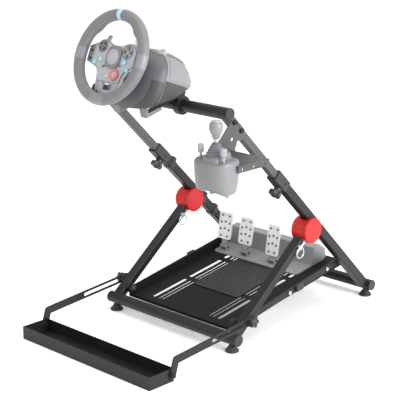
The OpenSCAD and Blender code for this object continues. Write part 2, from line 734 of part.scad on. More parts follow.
// Round controls of the hub, as [x, y, radius]
button_r = 4.6;
face_mid = [45, 20];
face_step = 10;
thumb_mid = [44, -7];
thumb_r = 6;
dpad_mid = [-48, 27];
dpad_r = 12;
dial_mid = [20, -42];
dial_r = 14;
button_places = [
    [face_mid[0], face_mid[1] + face_step, button_r], [face_mid[0], face_mid[1] - face_step, button_r],
    [face_mid[0] + face_step, face_mid[1], button_r], [face_mid[0] - face_step, face_mid[1], button_r],
    [-thumb_mid[0], thumb_mid[1], thumb_r], [thumb_mid[0], thumb_mid[1], thumb_r]];
cover_half = [[13, 31], [34, 39], [50, 41], [64, 34], [74, 24], [74, -14],
    [52, -26], [42, -40], [38, -61]];
module hub_cover() color("#5c5e62") at_wheel() difference() {
    translate([0, 0, hub_set_back - cover_t]) linear_extrude(cover_t) polygon(whole(cover_half));
    for (p = button_places) translate([p[0], p[1], 0]) cylinder(h = 60, r = p[2] + gap);
    translate([dpad_mid[0], dpad_mid[1], 0]) cylinder(h = 60, r = dpad_r + 1);
    translate([dial_mid[0], dial_mid[1], 0]) cylinder(h = 60, r = dial_r + gap);
}

// A button stands proud of the cover and slides into the spoke plate
button_proud = 2 * button_travel;
module button(mid, r) at_wheel() translate([mid[0], mid[1], hub_face_s - button_proud])
    cylinder(h = button_proud + cover_t + 2, r = r);
module button_up() color("#6f7175") button(face_mid + [0, face_step], button_r);
module button_down() color("#6f7175") button(face_mid - [0, face_step], button_r);
module button_right() color("#6f7175") button(face_mid + [face_step, 0], button_r);
module button_left() color("#6f7175") button(face_mid - [face_step, 0], button_r);
module thumb_button_left() color("#5aa7d8") button([-thumb_mid[0], thumb_mid[1]], thumb_r);
module thumb_button_right() color("#5aa7d8") button(thumb_mid, thumb_r);

// The direction pad rocks about its own centre
module dpad() color("#3f4145") at_wheel() translate([dpad_mid[0], dpad_mid[1], hub_face_s - 2.6]) {
    intersection() {
        union() {
            translate([-3.6, -dpad_r, 0]) cube([7.2, 2 * dpad_r, 4.2]);
            translate([-dpad_r, -3.6, 0]) cube([2 * dpad_r, 7.2, 4.2]);
        }
        cylinder(h = 10, r = dpad_r);
    }
    rod_x(-dpad_r - 0.6, dpad_r + 0.6, 1.3, 0, 2.6);
}

module selector_dial() color("#c2403c") at_wheel()
    translate([dial_mid[0], dial_mid[1], hub_face_s - 4]) difference() {
    cylinder(h = 4 + cover_t - gap, r = dial_r);
    translate([0, 0, -1]) cylinder(h = 3.5, r = dial_r - 5);
    for (i = [0:23]) rotate(15 * i) translate([dial_r + 0.4, 0, -1]) cylinder(h = 4.5, r = 0.9);
}

paddle_s = hub_set_back + spoke_t + 6.5;
paddle_pivot_x = 22;
module paddle_outline() polygon([[0, -12], [34, -10], [54, -2], [60, 16], [42, 44], [30, 60], [20, 58],
    [26, 38], [20, 20], [0, 12]]);
module paddle(side) color("#77797d") at_wheel() mirror([side < 0 ? 1 : 0, 0, 0]) {
    translate([paddle_pivot_x, 0, paddle_s]) linear_extrude(2.5) intersection() {
        paddle_outline();
        circle(spoke_reach - paddle_pivot_x + 20);
    }
    translate([paddle_pivot_x, 10, paddle_s + 1.2]) rotate([90, 0, 0]) cylinder(h = 20, r = 3);
}
module paddle_left() paddle(-1);
module paddle_right() paddle(1);

// ---------- Shifter ----------

shifter_y = -152;
shifter_top = shelf_z + 14;
shifter_low = shelf_z - shifter_drop;
shifter_r = 30;
// The body wraps the shelf's front edge: its rear part has a slot that the shelf sits in
module shifter_body() color("#a9abad") placed() difference() {
    intersection() {
        translate([shelf_mid_x, shifter_y, shifter_low]) linear_extrude(shifter_drop + 30)
            rounded(shifter_w, shifter_d, shifter_r);
        slab_x(shelf_in_x, right_end_x)
            polygon([[shifter_y - 50, shifter_low + 26], [shifter_y - 18, shifter_low],
                [shifter_y + 60, shifter_low], [shifter_y + 60, shifter_top + 14],
                [shifter_y, shifter_top + 14], [shifter_y - 50, shifter_top - 6]]);
    }
    translate([shelf_in_x - 1, shelf_front_y, shelf_z - shelf_t]) cube([shelf_w + 2, 200, shelf_t]);
    translate([shelf_mid_x, shifter_y, lever_z]) gate_space();
}
// Room for the lever and its gimbal inside the body
lever_z = shelf_z - 26;
module gate_space() {
    translate([-24, -12, -11]) cube([48, 24, 20]);
    translate([-24, -22, 8]) cube([48, 44, 80]);
}
lever_top = 116;
gimbal_r = 7;
module at_lever() placed() translate([shelf_mid_x, shifter_y, lever_z]) children();
module shifter_gimbal() color("#3c3e41") at_lever() difference() {
    union() {
        rod_x(-23.5, -gimbal_r - 1, 3);
        rod_x(gimbal_r + 1, 23.5, 3);
        translate([-gimbal_r - 3, -6, -6]) cube([2.6, 12, 12]);
        translate([gimbal_r + 0.4, -6, -6]) cube([2.6, 12, 12]);
        translate([-gimbal_r - 3, -7.8, -6]) cube([2 * gimbal_r + 6, 2, 12]);
        translate([-gimbal_r - 3, 5.8, -6]) cube([2 * gimbal_r + 6, 2, 12]);
    }
    translate([0, 12, 0]) rotate([90, 0, 0]) cylinder(h = 24, r = 2 + run_fit);
}
module shifter_lever() color("#8e9094") at_lever() {
    translate([0, 0, -5]) cylinder(h = lever_top - 10, r = 5);
    translate([0, 7.6, 0]) rotate([90, 0, 0]) cylinder(h = 15.2, r = 2);
    translate([0, 0, lever_top]) sphere(18);
    translate([0, 0, lever_top - 26]) cylinder(h = 14, r1 = 9, r2 = 14);
}

// ---------- Pedals ----------

pedal_pivot_y = 376;
pedal_pivot_z = 13;
pedal_xs = [28, -80, -165];
unit_mid_x = (pedal_xs[0] + pedal_xs[2]) / 2 + 42;
unit_front = 350;
unit_rear = 492;
unit_t = 4;
pedal_hub_r = 8;
ear_t = 4;
arm_half = 9;
module pedal_base() color("#b4b6b8") at_pedals() difference() {
    union() {
        translate([unit_mid_x, (unit_front + unit_rear) / 2, 0])
            linear_extrude(unit_t) rounded(pedal_unit_w, unit_rear - unit_front, 14);
        slab_x(unit_mid_x - pedal_unit_w / 2, unit_mid_x + pedal_unit_w / 2)
            polygon([[unit_rear - 68, unit_t], [unit_rear, unit_t], [unit_rear, 34],
                [unit_rear - 22, 54], [unit_rear - 52, 54]]);
        for (x = pedal_xs, side = [-1, 1]) translate([x + side * (arm_half + 0.4 + ear_t / 2), 0, 0])
            slab_x(-ear_t / 2, ear_t / 2) {
                translate([pedal_pivot_y, pedal_pivot_z]) circle(pedal_hub_r);
                translate([pedal_pivot_y - pedal_hub_r, unit_t])
                    square([2 * pedal_hub_r, pedal_pivot_z - unit_t]);
            }
        for (x = pedal_xs)
            rod_x(x - arm_half - 2, x + arm_half + 2, pedal_pin_r, pedal_pivot_y, pedal_pivot_z);
    }
    for (i = [-1, 1]) translate([unit_mid_x + i * (pedal_unit_w / 2 - 16), unit_front + 12, -1])
        cylinder(h = 10, r = 2.5);
}

module at_pedal(x) at_pedals() translate([x, pedal_pivot_y, pedal_pivot_z])
    rotate([-pedal_lean, 0, 0]) children();
face_t = 3;
face_h = 84;
throttle_extra_h = 10;
face_front = -10;
module pedal_arm(x) at_pedal(x) difference() {
    union() {
        rod_x(-arm_half, arm_half, pedal_hub_r - 1);
        translate([-arm_half, -6, 0]) cube([2 * arm_half, 8, pedal_len - 10]);
        translate([-arm_half + 3, face_front + face_t, pedal_len - 56]) cube([2 * arm_half - 6, 8, 40]);
    }
    rod_x(-arm_half - 1, arm_half + 1, pedal_pin_r + run_fit);
}
// Holes for the rubber grip studs, as shares of the face's width and height from its middle
face_studs = [[-0.27, 0.37], [0.27, 0.37], [-0.31, 0.11], [0, 0.15], [0.31, 0.11],
    [-0.31, -0.14], [0, -0.1], [0.31, -0.14], [-0.24, -0.38], [0.24, -0.38]];
module pedal_face(x, w, h) at_pedal(x) difference() {
    translate([0, face_front + face_t, pedal_len - h / 2]) rotate([90, 0, 0])
        linear_extrude(face_t) rounded(w, h, 9);
    for (d = face_studs) translate([d[0] * w, 0, pedal_len - h / 2 + d[1] * h]) rotate([90, 0, 0])
        cylinder(h = 30, r = 2.6);
}
module throttle_arm() color("#a5a7aa") pedal_arm(pedal_xs[0]);
module brake_arm() color("#a5a7aa") pedal_arm(pedal_xs[1]);
module clutch_arm() color("#a5a7aa") pedal_arm(pedal_xs[2]);
module throttle_face() color("#dcdde0")
    pedal_face(pedal_xs[0], pedal_face_w - 6, face_h + throttle_extra_h);
module brake_face() color("#dcdde0") pedal_face(pedal_xs[1], pedal_face_w, face_h);
module clutch_face() color("#dcdde0") pedal_face(pedal_xs[2], pedal_face_w, face_h);

lower_posts();
rear_cross_tube();
rear_feet();
hinge_housings();
hinge_bolts();
post_sleeves();
front_legs();
front_cross_tube();
front_feet();
hinge_hubs();
pedal_plate();
side_rails();
heel_mat();
plate_knob_left();
plate_knob_right();
arm_bushes();
stop_tray();
tray_arms();
arm_knob_left();
arm_knob_right();
post_knob_left();
post_knob_right();
lock_pin_left();
lock_pin_right();
upper_posts();
top_cross_tube();
shifter_bracket();
wheel_plate();
base_front_shell();
base_rear_shell();
base_clamps();
drive_motor();
drive_belt();
motor_pulley();
clamp_knob_left();
clamp_knob_right();
steering_shaft();
rim();
spoke_frame();
hub_cover();
paddle_left();
paddle_right();
dpad();
button_up();
button_right();
button_down();
button_left();
thumb_button_left();
thumb_button_right();
selector_dial();
shifter_body();
shifter_gimbal();
shifter_lever();
pedal_base();
throttle_arm();
throttle_face();
brake_arm();
brake_face();
clutch_arm();
clutch_face();
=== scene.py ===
"""Racing-wheel stand with its wheel, shifter and pedals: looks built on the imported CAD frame."""
import json
import math
import bmesh
import bpy
from mathutils import Matrix, Vector


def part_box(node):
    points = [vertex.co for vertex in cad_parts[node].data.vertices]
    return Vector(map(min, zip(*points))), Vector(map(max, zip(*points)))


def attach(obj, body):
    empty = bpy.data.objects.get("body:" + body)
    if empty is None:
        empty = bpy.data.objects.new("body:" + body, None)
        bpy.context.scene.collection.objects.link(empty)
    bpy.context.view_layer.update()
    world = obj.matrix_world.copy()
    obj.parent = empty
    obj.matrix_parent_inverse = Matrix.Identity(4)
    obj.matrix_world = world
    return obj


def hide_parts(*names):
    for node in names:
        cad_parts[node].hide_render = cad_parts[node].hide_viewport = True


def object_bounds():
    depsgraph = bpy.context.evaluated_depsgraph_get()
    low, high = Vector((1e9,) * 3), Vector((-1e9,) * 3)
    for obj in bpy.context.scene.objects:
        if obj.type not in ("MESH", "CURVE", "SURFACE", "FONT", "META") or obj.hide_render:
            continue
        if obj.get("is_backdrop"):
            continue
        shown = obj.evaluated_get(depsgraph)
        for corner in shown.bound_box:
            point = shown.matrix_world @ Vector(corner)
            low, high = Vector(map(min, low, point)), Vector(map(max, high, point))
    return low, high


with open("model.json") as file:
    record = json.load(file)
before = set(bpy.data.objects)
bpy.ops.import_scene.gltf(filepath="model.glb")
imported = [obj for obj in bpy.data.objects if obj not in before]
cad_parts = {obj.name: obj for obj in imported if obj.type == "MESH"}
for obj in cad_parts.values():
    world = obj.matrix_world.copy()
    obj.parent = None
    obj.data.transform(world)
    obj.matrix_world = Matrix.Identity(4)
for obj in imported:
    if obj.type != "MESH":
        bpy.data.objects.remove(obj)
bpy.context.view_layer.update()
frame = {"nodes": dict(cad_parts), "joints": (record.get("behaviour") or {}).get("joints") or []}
nodes = frame["nodes"]
joints = {j["name"]: j for j in frame["joints"]}
MM = 0.001
X = Vector((1, 0, 0))
TAU = 2 * math.pi


# ---------- Local frames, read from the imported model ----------

def pos(joint):
    return Vector(joints[joint]["pos_m"])


def axis(joint):
    return Vector(joints[joint]["axis"]).normalized()


def middle(node):
    lo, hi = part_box(node)
    return (lo + hi) / 2


def basis(origin, y, z):
    """A frame at origin with its X along the stand's X."""
    m = Matrix.Identity(4)
    m.col[0][:3] = X
    m.col[1][:3] = y
    m.col[2][:3] = z
    m.translation = origin
    return m


MID_X = middle("lower_posts").x
POST_X = 0.227
POST_LEN = 0.876
up = axis("post_reach")
POST = basis(Vector((MID_X, *(pos("wheel_tilt") - up * POST_LEN).yz)), up.cross(X), up)
front_tube = middle("front_cross_tube")
leg_up = (pos("leg_fold") - front_tube)
leg_up = Vector((0, leg_up.y, leg_up.z)).normalized()
LEG = basis(Vector((MID_X, front_tube.y, front_tube.z)), leg_up.cross(X), leg_up)
DECK_TILT = math.radians(8)
deck_along = Vector((0, math.cos(DECK_TILT), math.sin(DECK_TILT)))
DECK = basis(Vector((MID_X, *pos("deck_lift").yz)), deck_along, X.cross(deck_along))
plate_up = axis("clamp_screw_left_turn")
PLATE = basis(Vector((MID_X, *pos("wheel_tilt").yz)), plate_up.cross(X), plate_up)
# The wheel's Z points at the driver, and its Y is up in the rim's plane
wheel_z = axis("steering_turn")
WHEEL = basis(pos("steering_turn"), wheel_z.cross(X), wheel_z)
LEVER = Matrix.Translation(pos("shift_fore_aft"))
PEDAL_LEAN = math.radians(-10)


def pedal_frame(joint):
    return Matrix.Translation(pos(joint)) @ Matrix.Rotation(PEDAL_LEAN, 4, "X")


def turned(m, x=0, y=0, z=0, rx=0, ry=0, rz=0):
    """m moved by x, y, z millimetres and then turned by degrees."""
    t = m @ Matrix.Translation(Vector((x, y, z)) * MM)
    for angle, ax in ((rx, "X"), (ry, "Y"), (rz, "Z")):
        if angle:
            t = t @ Matrix.Rotation(math.radians(angle), 4, ax)
    return t


# ---------- Materials ----------

def ramp(tree, source, low, high, spread=(0.3, 0.7)):
    node = tree.nodes.new("ShaderNodeValToRGB")
    node.color_ramp.elements[0].position, node.color_ramp.elements[1].position = spread
    node.color_ramp.elements[0].color = (*low, 1)
    node.color_ramp.elements[1].color = (*high, 1)
    tree.links.new(source, node.inputs["Fac"])
    return node.outputs["Color"]


def coords(tree, stretch=(1, 1, 1), turn=0.0):
    tex = tree.nodes.new("ShaderNodeTexCoord")
    mapping = tree.nodes.new("ShaderNodeMapping")
    mapping.inputs["Scale"].default_value = stretch
    mapping.inputs["Rotation"].default_value = (turn, 0, 0)
    tree.links.new(tex.outputs["Object"], mapping.inputs["Vector"])
    return mapping.outputs["Vector"]


def noise(tree, scale, detail=3.0, stretch=(1, 1, 1), turn=0.0):
    node = tree.nodes.new("ShaderNodeTexNoise")
    node.inputs["Scale"].default_value = scale
    node.inputs["Detail"].default_value = detail
    tree.links.new(coords(tree, stretch, turn), node.inputs["Vector"])
    return node.outputs["Fac"]


def cells(tree, scale):
    node = tree.nodes.new("ShaderNodeTexVoronoi")
    node.inputs["Scale"].default_value = scale
    tree.links.new(coords(tree), node.inputs["Vector"])
    return node.outputs["Distance"]


def material(name, colour, rough, metal=0.0, vary=0.12, grain=900, bump=0.12, depth=0.0002,
             kind="grain", stretch=(1, 1, 1), turn=0.0, coat=0.0, sheen=0.0, specular=0.5):
    m = bpy.data.materials.new(name)
    m.use_nodes = True
    tree = m.node_tree
    shader = tree.nodes["Principled BSDF"]
    shader.inputs["Metallic"].default_value = metal
    shader.inputs["Coat Weight"].default_value = coat
    shader.inputs["Coat Roughness"].default_value = 0.25
    shader.inputs["Sheen Weight"].default_value = sheen
    shader.inputs["Specular IOR Level"].default_value = specular
    low = tuple(c * (1 - vary) for c in colour)
    high = tuple(min(1, c * (1 + vary)) for c in colour)
    patches = noise(tree, 14, 4)
    fine = noise(tree, grain, 3, stretch, turn)
    mix = tree.nodes.new("ShaderNodeMath")
    mix.operation = "MULTIPLY_ADD"
    mix.inputs[1].default_value = 0.5
    tree.links.new(patches, mix.inputs[0])
    half = tree.nodes.new("ShaderNodeMath")
    half.operation = "MULTIPLY"
    half.inputs[1].default_value = 0.5
    tree.links.new(fine, half.inputs[0])
    tree.links.new(half.outputs[0], mix.inputs[2])
    tree.links.new(ramp(tree, mix.outputs[0], low, high), shader.inputs["Base Color"])
    spread = ramp(tree, mix.outputs[0], (rough - 0.06,) * 3, (min(1, rough + 0.08),) * 3)
    tree.links.new(spread, shader.inputs["Roughness"])
    height = fine
    if kind == "pebble":
        height = cells(tree, grain)
    bumps = tree.nodes.new("ShaderNodeBump")
    bumps.inputs["Strength"].default_value = bump
    bumps.inputs["Distance"].default_value = depth
    tree.links.new(height, bumps.inputs["Height"])
    tree.links.new(bumps.outputs["Normal"], shader.inputs["Normal"])
    return m


COAT = material("powder coat", (0.010, 0.0105, 0.0115), 0.40, grain=1400, bump=0.22, depth=0.0004,
                vary=0.18,
                specular=0.30)
# Darker copy of the black powder coat for the pedal deck: painted shade on its upward face; it is also rougher and
# less glossy.
COAT_DECK_PAINTED_SHADE = material("powder coat, deck, painted shade", (0.006, 0.006, 0.0065), 0.60, grain=1400, bump=0.3,
                     depth=0.0004, vary=0.18,
                     specular=0.16)
# Lighter copy of the black powder coat, used on the upper posts and the shifter bracket: painted highlight
# standing in for the key light on their +X faces.
COAT_PAINTED_HIGHLIGHT = material("powder coat, painted highlight", (0.050, 0.051, 0.054), 0.44, grain=1400, bump=0.22,
                      depth=0.0004)
RED = material("red drum plastic", (0.46, 0.012, 0.012), 0.36, vary=0.07, grain=1100, bump=0.10, coat=0.1,
               specular=0.25)
RED_CAP = material("red cap plastic", (0.44, 0.016, 0.015), 0.38, vary=0.06, grain=1100, bump=0.10,
                   coat=0.05,
                   specular=0.25)
BLACK = material("black moulded plastic", (0.016, 0.016, 0.018), 0.46, grain=1600, bump=0.18)
RUBBER = material("foot rubber", (0.014, 0.014, 0.015), 0.62, grain=700, bump=0.25, depth=0.0004, sheen=0.1)
ZINC = material("zinc-plated steel", (0.62, 0.63, 0.65), 0.28, metal=1.0, vary=0.10, grain=600, bump=0.05)
SCREW = material("black oxide steel", (0.05, 0.05, 0.055), 0.32, metal=0.8, vary=0.15, grain=900, bump=0.06)
MAT = material("embossed heel mat", (0.012, 0.012, 0.014), 0.55, grain=1200, bump=0.3, depth=0.0003)
LEATHER = material("rim leather", (0.138, 0.136, 0.145), 0.44, vary=0.12, grain=900, bump=0.45,
                   depth=0.0006, kind="pebble", sheen=0.15)
THREAD = material("stitching thread", (0.36, 0.36, 0.38), 0.7, grain=3000, bump=0.4, depth=0.0003)
HUB_METAL = material("brushed hub plate", (0.33, 0.33, 0.348), 0.36, metal=0.55, vary=0.10, grain=260,
                     bump=0.10, stretch=(1, 40, 40))
HUB_SKIN = material("hub cover plastic", (0.36, 0.36, 0.378), 0.44, grain=1500, bump=0.14)
COLLAR = material("rim collar plastic", (0.19, 0.188, 0.20), 0.40, grain=1500, bump=0.12)
HUB_DARK = material("hub inset plastic", (0.17, 0.17, 0.182), 0.40, grain=1500, bump=0.12)
BUTTON = material("button plastic", (0.30, 0.30, 0.32), 0.30, vary=0.06, grain=1800, bump=0.06, coat=0.3)
BUTTON_DARK = material("dark button plastic", (0.13, 0.13, 0.14), 0.32, vary=0.06, grain=1800, bump=0.06)
BLUE = material("light blue button", (0.27, 0.58, 0.80), 0.28, vary=0.05, grain=1800, bump=0.04, coat=0.4)
WHITE_KEY = material("white key", (0.52, 0.55, 0.58), 0.35, vary=0.04, grain=1800, bump=0.05)
DIAL_RED = material("red dial ring", (0.66, 0.12, 0.10), 0.34, vary=0.08, grain=1500, bump=0.08)
SHELL_DARK = material("base front shell", (0.082, 0.083, 0.088), 0.46, vary=0.07, grain=1700, bump=0.16)
SHELL = material("base rear shell", (0.205, 0.203, 0.213), 0.38, vary=0.05, grain=1700, bump=0.14,
                 coat=0.15)
SKIRT = material("base lower skirt", (0.040, 0.041, 0.044), 0.48, vary=0.07, grain=1700, bump=0.16)
SHELL_TOP = material("base top cover", (0.165, 0.165, 0.175), 0.36, vary=0.06, grain=1700, bump=0.12)
SHIFTER = material("shifter shell", (0.165, 0.164, 0.172), 0.40, vary=0.05, grain=1700, bump=0.14, coat=0.1)
SHIFTER_TOP = material("shifter console", (0.17, 0.17, 0.18), 0.42, vary=0.06, grain=1700, bump=0.14)
BOOT = material("shifter boot", (0.11, 0.11, 0.118), 0.5, grain=1100, bump=0.4, depth=0.0005, kind="pebble")
KNOB_SKIN = material("lever knob", (0.20, 0.20, 0.21), 0.34, vary=0.08, grain=1100, bump=0.3,
                     depth=0.0004, kind="pebble")
LEVER_METAL = material("satin lever steel", (0.50, 0.50, 0.52), 0.30, metal=0.9, grain=500, bump=0.06)
PEDAL_GREY = material("pedal housing", (0.21, 0.21, 0.218), 0.44, vary=0.06, grain=1500, bump=0.16)
PEDAL_STEM = material("pedal arm", (0.27, 0.27, 0.28), 0.34, metal=0.6, vary=0.08, grain=420, bump=0.08)
PEDAL_STEEL = material("brushed pedal steel", (0.74, 0.74, 0.76), 0.36, metal=0.35, vary=0.05,
                       grain=200, bump=0.10, stretch=(1, 40, 2))
STUD = material("pedal grip stud", (0.10, 0.10, 0.105), 0.55, grain=1500, bump=0.2)
MOTOR = material("motor can", (0.40, 0.40, 0.42), 0.32, metal=0.9, grain=300, bump=0.06)
BRASS = material("pulley brass", (0.62, 0.46, 0.20), 0.34, metal=0.9, grain=600, bump=0.05)
BELT = material("belt rubber", (0.016, 0.016, 0.016), 0.7, grain=2500, bump=0.3)


# ---------- Mesh helpers ----------

def piece(name, verts, faces, mat, body, slot, m, sharp=34, replaces=(), bevel=0.0, subdiv=0):
    """Makes a mesh from millimetre points in frame m and fixes it to a CAD body."""
    mesh = bpy.data.meshes.new(name)
    mesh.from_pydata([m @ (Vector(v) * MM) for v in verts], [], faces)
    bm = bmesh.new()
    bm.from_mesh(mesh)
    bmesh.ops.remove_doubles(bm, verts=bm.verts, dist=1e-6)
    bmesh.ops.recalc_face_normals(bm, faces=bm.faces)
    if bevel:
        edges = [e for e in bm.edges if len(e.link_faces) == 2 and e.calc_face_angle() > math.radians(28)]
        bmesh.ops.bevel(bm, geom=edges, offset=bevel * MM, segments=2, profile=0.6, affect="EDGES",
                        clamp_overlap=True)
    for f in bm.faces:
        f.smooth = True
    for e in bm.edges:
        e.smooth = len(e.link_faces) != 2 or e.calc_face_angle() < math.radians(sharp)
    bm.to_mesh(mesh)
    bm.free()
    obj = bpy.data.objects.new(name, mesh)
    bpy.context.scene.collection.objects.link(obj)
    mesh.materials.append(mat)
    if subdiv:
        mod = obj.modifiers.new("subdivide", "SUBSURF")
        mod.levels = mod.render_levels = subdiv
    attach(obj, body)
    if replaces:
        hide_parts(*replaces)
    return obj


def join_meshes(parts):
    """Several (verts, faces) as one."""
    verts, faces = [], []
    for v, f in parts:
        base = len(verts)
        verts += v
        faces += [tuple(i + base for i in face) for face in f]
    return verts, faces


def moved(part, m):
    """(verts, faces) moved by a matrix whose translation is in millimetres."""
    return [m @ Vector(v) for v in part[0]], part[1]


def at(x, y, z, rx=0, ry=0, rz=0):
    t = Matrix.Translation((x, y, z))
    for angle, ax in ((rx, "X"), (ry, "Y"), (rz, "Z")):
        if angle:
            t = t @ Matrix.Rotation(math.radians(angle), 4, ax)
    return t


def skin(rings, closed=False, caps=True):
    """Joins equal rings of points into a surface."""
    n = len(rings[0])
    verts = [p for ring in rings for p in ring]
    faces = []
    count = len(rings)
    for i in range(count if closed else count - 1):
        a, b = i * n, (i + 1) % count * n
        for k in range(n):
            faces.append((a + k, a + (k + 1) % n, b + (k + 1) % n, b + k))
    if caps and not closed:
        faces.append(tuple(range(n - 1, -1, -1)))
        faces.append(tuple(range((count - 1) * n, count * n)))
    return verts, faces


def lathe(profile, steps=48):
    """Revolves (radius, height) pairs about Z."""
    rings = []
    for r, z in profile:
        r = max(r, 0.001)
        rings.append([(r * math.cos(TAU * k / steps), r * math.sin(TAU * k / steps),
                       z) for k in range(steps)])
    return skin(rings)


def prism(outline, z0, z1, edge=0.0):
    """An outline extruded from z0 to z1, with its two rims eased by edge."""
    if not edge:
        return skin([[(x, y, z) for x, y in outline] for z in (z0, z1)])
    inner = inset(outline, edge)
    mid = inset(outline, edge * 0.29)
    levels = [(inner, z0), (mid, z0 + edge * 0.29), (outline, z0 + edge), (outline, z1 - edge),
              (mid, z1 - edge * 0.29), (inner, z1)]
    return skin([[(x, y, z) for x, y in line] for line, z in levels])


def inset(outline, d):
    """Moves a counter-clockwise outline inwards by d."""
    out = []
    n = len(outline)
    for i in range(n):
        p0, p1, p2 = (Vector(outline[(i + k) % n]) for k in (-1, 0, 1))
        a, b = (p1 - p0), (p2 - p1)
        a = a.normalized() if a.length > 1e-9 else b.normalized()
        b = b.normalized() if b.length > 1e-9 else a
        na, nb = Vector((-a.y, a.x)), Vector((-b.y, b.x))
        s = na + nb
        s = s / max(s.length_squared / 2, 0.35)
        out.append(tuple(p1 + s * d))
    return out


def round_rect(w, h, r, steps=6):
    pts = []
    for cx, cy, start in ((1, 1, 0), (-1, 1, 90), (-1, -1, 180), (1, -1, 270)):
        for k in range(steps + 1):
            a = math.radians(start + 90 * k / steps)
            pts.append((cx * (w / 2 - r) + r * math.cos(a), cy * (h / 2 - r) + r * math.sin(a)))
    return pts


def star_outline(r, lobes, depth, steps=120):
    return [(r * (1 - depth / 2 + depth / 2 * math.cos(lobes * a)) * math.cos(a),
             r * (1 - depth / 2 + depth / 2 * math.cos(lobes * a)) * math.sin(a))
            for a in (TAU * k / steps for k in range(steps))]


def smooth_outline(points, steps=4):
    """A closed Catmull-Rom curve through the points."""
    out = []
    n = len(points)
    for i in range(n):
        p = [Vector(points[(i + k) % n]) for k in (-1, 0, 1, 2)]
        for s in range(steps):
            t = s / steps
            out.append(tuple(0.5 * (2 * p[1] + (p[2] - p[0]) * t +
                                    (2 * p[0] - 5 * p[1] + 4 * p[2] - p[3]) * t * t
                                    + (3 * p[1] - p[0] - 3 * p[2] + p[3]) * t ** 3)))
    return out


def sweep(path, r, steps=12, closed=False):
    """A round rod along a list of points."""
    rings = []
    n = len(path)
    ref = Vector((0.3, 0.2, 1)).normalized()
    for i in range(n):
        before = path[(i - 1) % n] if closed or i else path[0]
        after = path[(i + 1) % n] if closed or i < n - 1 else path[-1]
        t = (Vector(after) - Vector(before)).normalized()
        u = t.cross(ref).normalized()
        v = t.cross(u)
        rings.append([Vector(path[i]) + r * (math.cos(TAU * k / steps) * u + math.sin(TAU * k / steps) * v)
                      for k in range(steps)])
    return skin(rings, closed)


def socket_screw(r, h):
    """A cap screw's head on the plane z = 0, with its hexagonal socket."""
    hexagon = r * 0.55
    outer = [(r, 0), (r, h * 0.82), (r * 0.96, h * 0.94), (r * 0.88, h)]
    steps = 24
    rings = [[(a * math.cos(TAU * k / steps), a * math.sin(TAU * k / steps), z) for k in range(steps)]
             for a, z in outer]
    for z in (h, h * 0.35):
        ring = []
        for k in range(steps):
            a = TAU * k / steps
            side = math.cos(math.pi / 6) / math.cos((a % (math.pi / 3)) - math.pi / 6)
            ring.append((hexagon * side * math.cos(a), hexagon * side * math.sin(a), z))
        rings.append(ring)
    return skin(rings)


def hex_head(r, h):
    outline = [(r * math.cos(TAU * k / 6), r * math.sin(TAU * k / 6)) for k in range(6)]
    return prism(outline, 0, h, 0.5)


# ---------- CAD nodes that stay: softened edges and their materials ----------

def dress(node, mat, bevel=0.5):
    """Gives a CAD node its material and eased edges."""
    obj = nodes[node]
    obj.data.materials.clear()
    obj.data.materials.append(mat)
    if "custom_normal" in obj.data.attributes:
        obj.data.attributes.remove(obj.data.attributes["custom_normal"])
    for f in obj.data.polygons:
        f.use_smooth = True
    for e in obj.data.edges:
        e.use_edge_sharp = False
    weld = obj.modifiers.new("weld", "WELD")
    weld.merge_threshold = 0.00001
    if bevel:
        mod = obj.modifiers.new("eased edges", "BEVEL")
        mod.width = bevel * MM
        mod.segments = 2
        mod.limit_method = "ANGLE"
        mod.angle_limit = math.radians(32)
        mod.use_clamp_overlap = True
    shade = obj.modifiers.new("shading", "WEIGHTED_NORMAL")
    shade.weight = 80


for name, mat, bevel in (
        ("lower_posts", COAT, 0.6), ("rear_cross_tube", COAT, 0), ("front_legs", COAT, 0.6),
        # The pedal plate takes the darker coat copy: painted shade on the deck's upward face.
        ("front_cross_tube", COAT, 0), ("pedal_plate", COAT_DECK_PAINTED_SHADE, 0.4), ("side_rails", COAT, 0.8),
        # The upper posts and the shifter bracket take the lighter coat copy: painted highlight on their +X faces.
        ("stop_tray", COAT, 0.6), ("tray_arms", COAT, 0.6), ("upper_posts", COAT_PAINTED_HIGHLIGHT, 0.6),
        ("top_cross_tube", COAT, 0), ("shifter_bracket", COAT_PAINTED_HIGHLIGHT, 0.4), ("wheel_plate", COAT, 0.6),
        ("hinge_housings", RED, 1.6), ("hinge_bolts", RED_CAP, 0.8), ("hinge_hubs", RED, 1.0),
        ("post_sleeves", BLACK, 1.0), ("arm_bushes", BLACK, 0.6), ("base_clamps", HUB_DARK, 1.0),
        ("lock_pin_left", ZINC, 0.4), ("lock_pin_right", ZINC, 0.4),
        ("steering_shaft", LEVER_METAL, 0.4), ("drive_motor", MOTOR, 0.5), ("drive_belt", BELT, 0.2),
        ("motor_pulley", BRASS, 0.4), ("spoke_frame", HUB_METAL, 1.2), ("hub_cover", HUB_SKIN, 0.9),
        ("paddle_left", LEVER_METAL, 0.6), ("paddle_right", LEVER_METAL, 0.6), ("dpad", BUTTON_DARK, 0.6),
        ("button_up", BUTTON_DARK, 0.7), ("button_right", BUTTON_DARK, 0.7),
        ("button_down", BUTTON_DARK, 0.7), ("button_left", BUTTON_DARK, 0.7),
        ("thumb_button_left", BLUE, 0.9), ("thumb_button_right", BLUE, 0.9),
        ("selector_dial", DIAL_RED, 0.7), ("shifter_gimbal", SCREW, 0.4), ("pedal_base", PEDAL_GREY, 1.0),
        ("throttle_arm", PEDAL_STEM, 0.8), ("brake_arm", PEDAL_STEM, 0.8), ("clutch_arm", PEDAL_STEM, 0.8),
        ("throttle_face", PEDAL_STEEL, 0.6), ("brake_face", PEDAL_STEEL, 0.6),
        ("clutch_face", PEDAL_STEEL, 0.6)):
    dress(name, mat, bevel)


# ---------- Stand: tube caps, feet, knobs and screws ----------

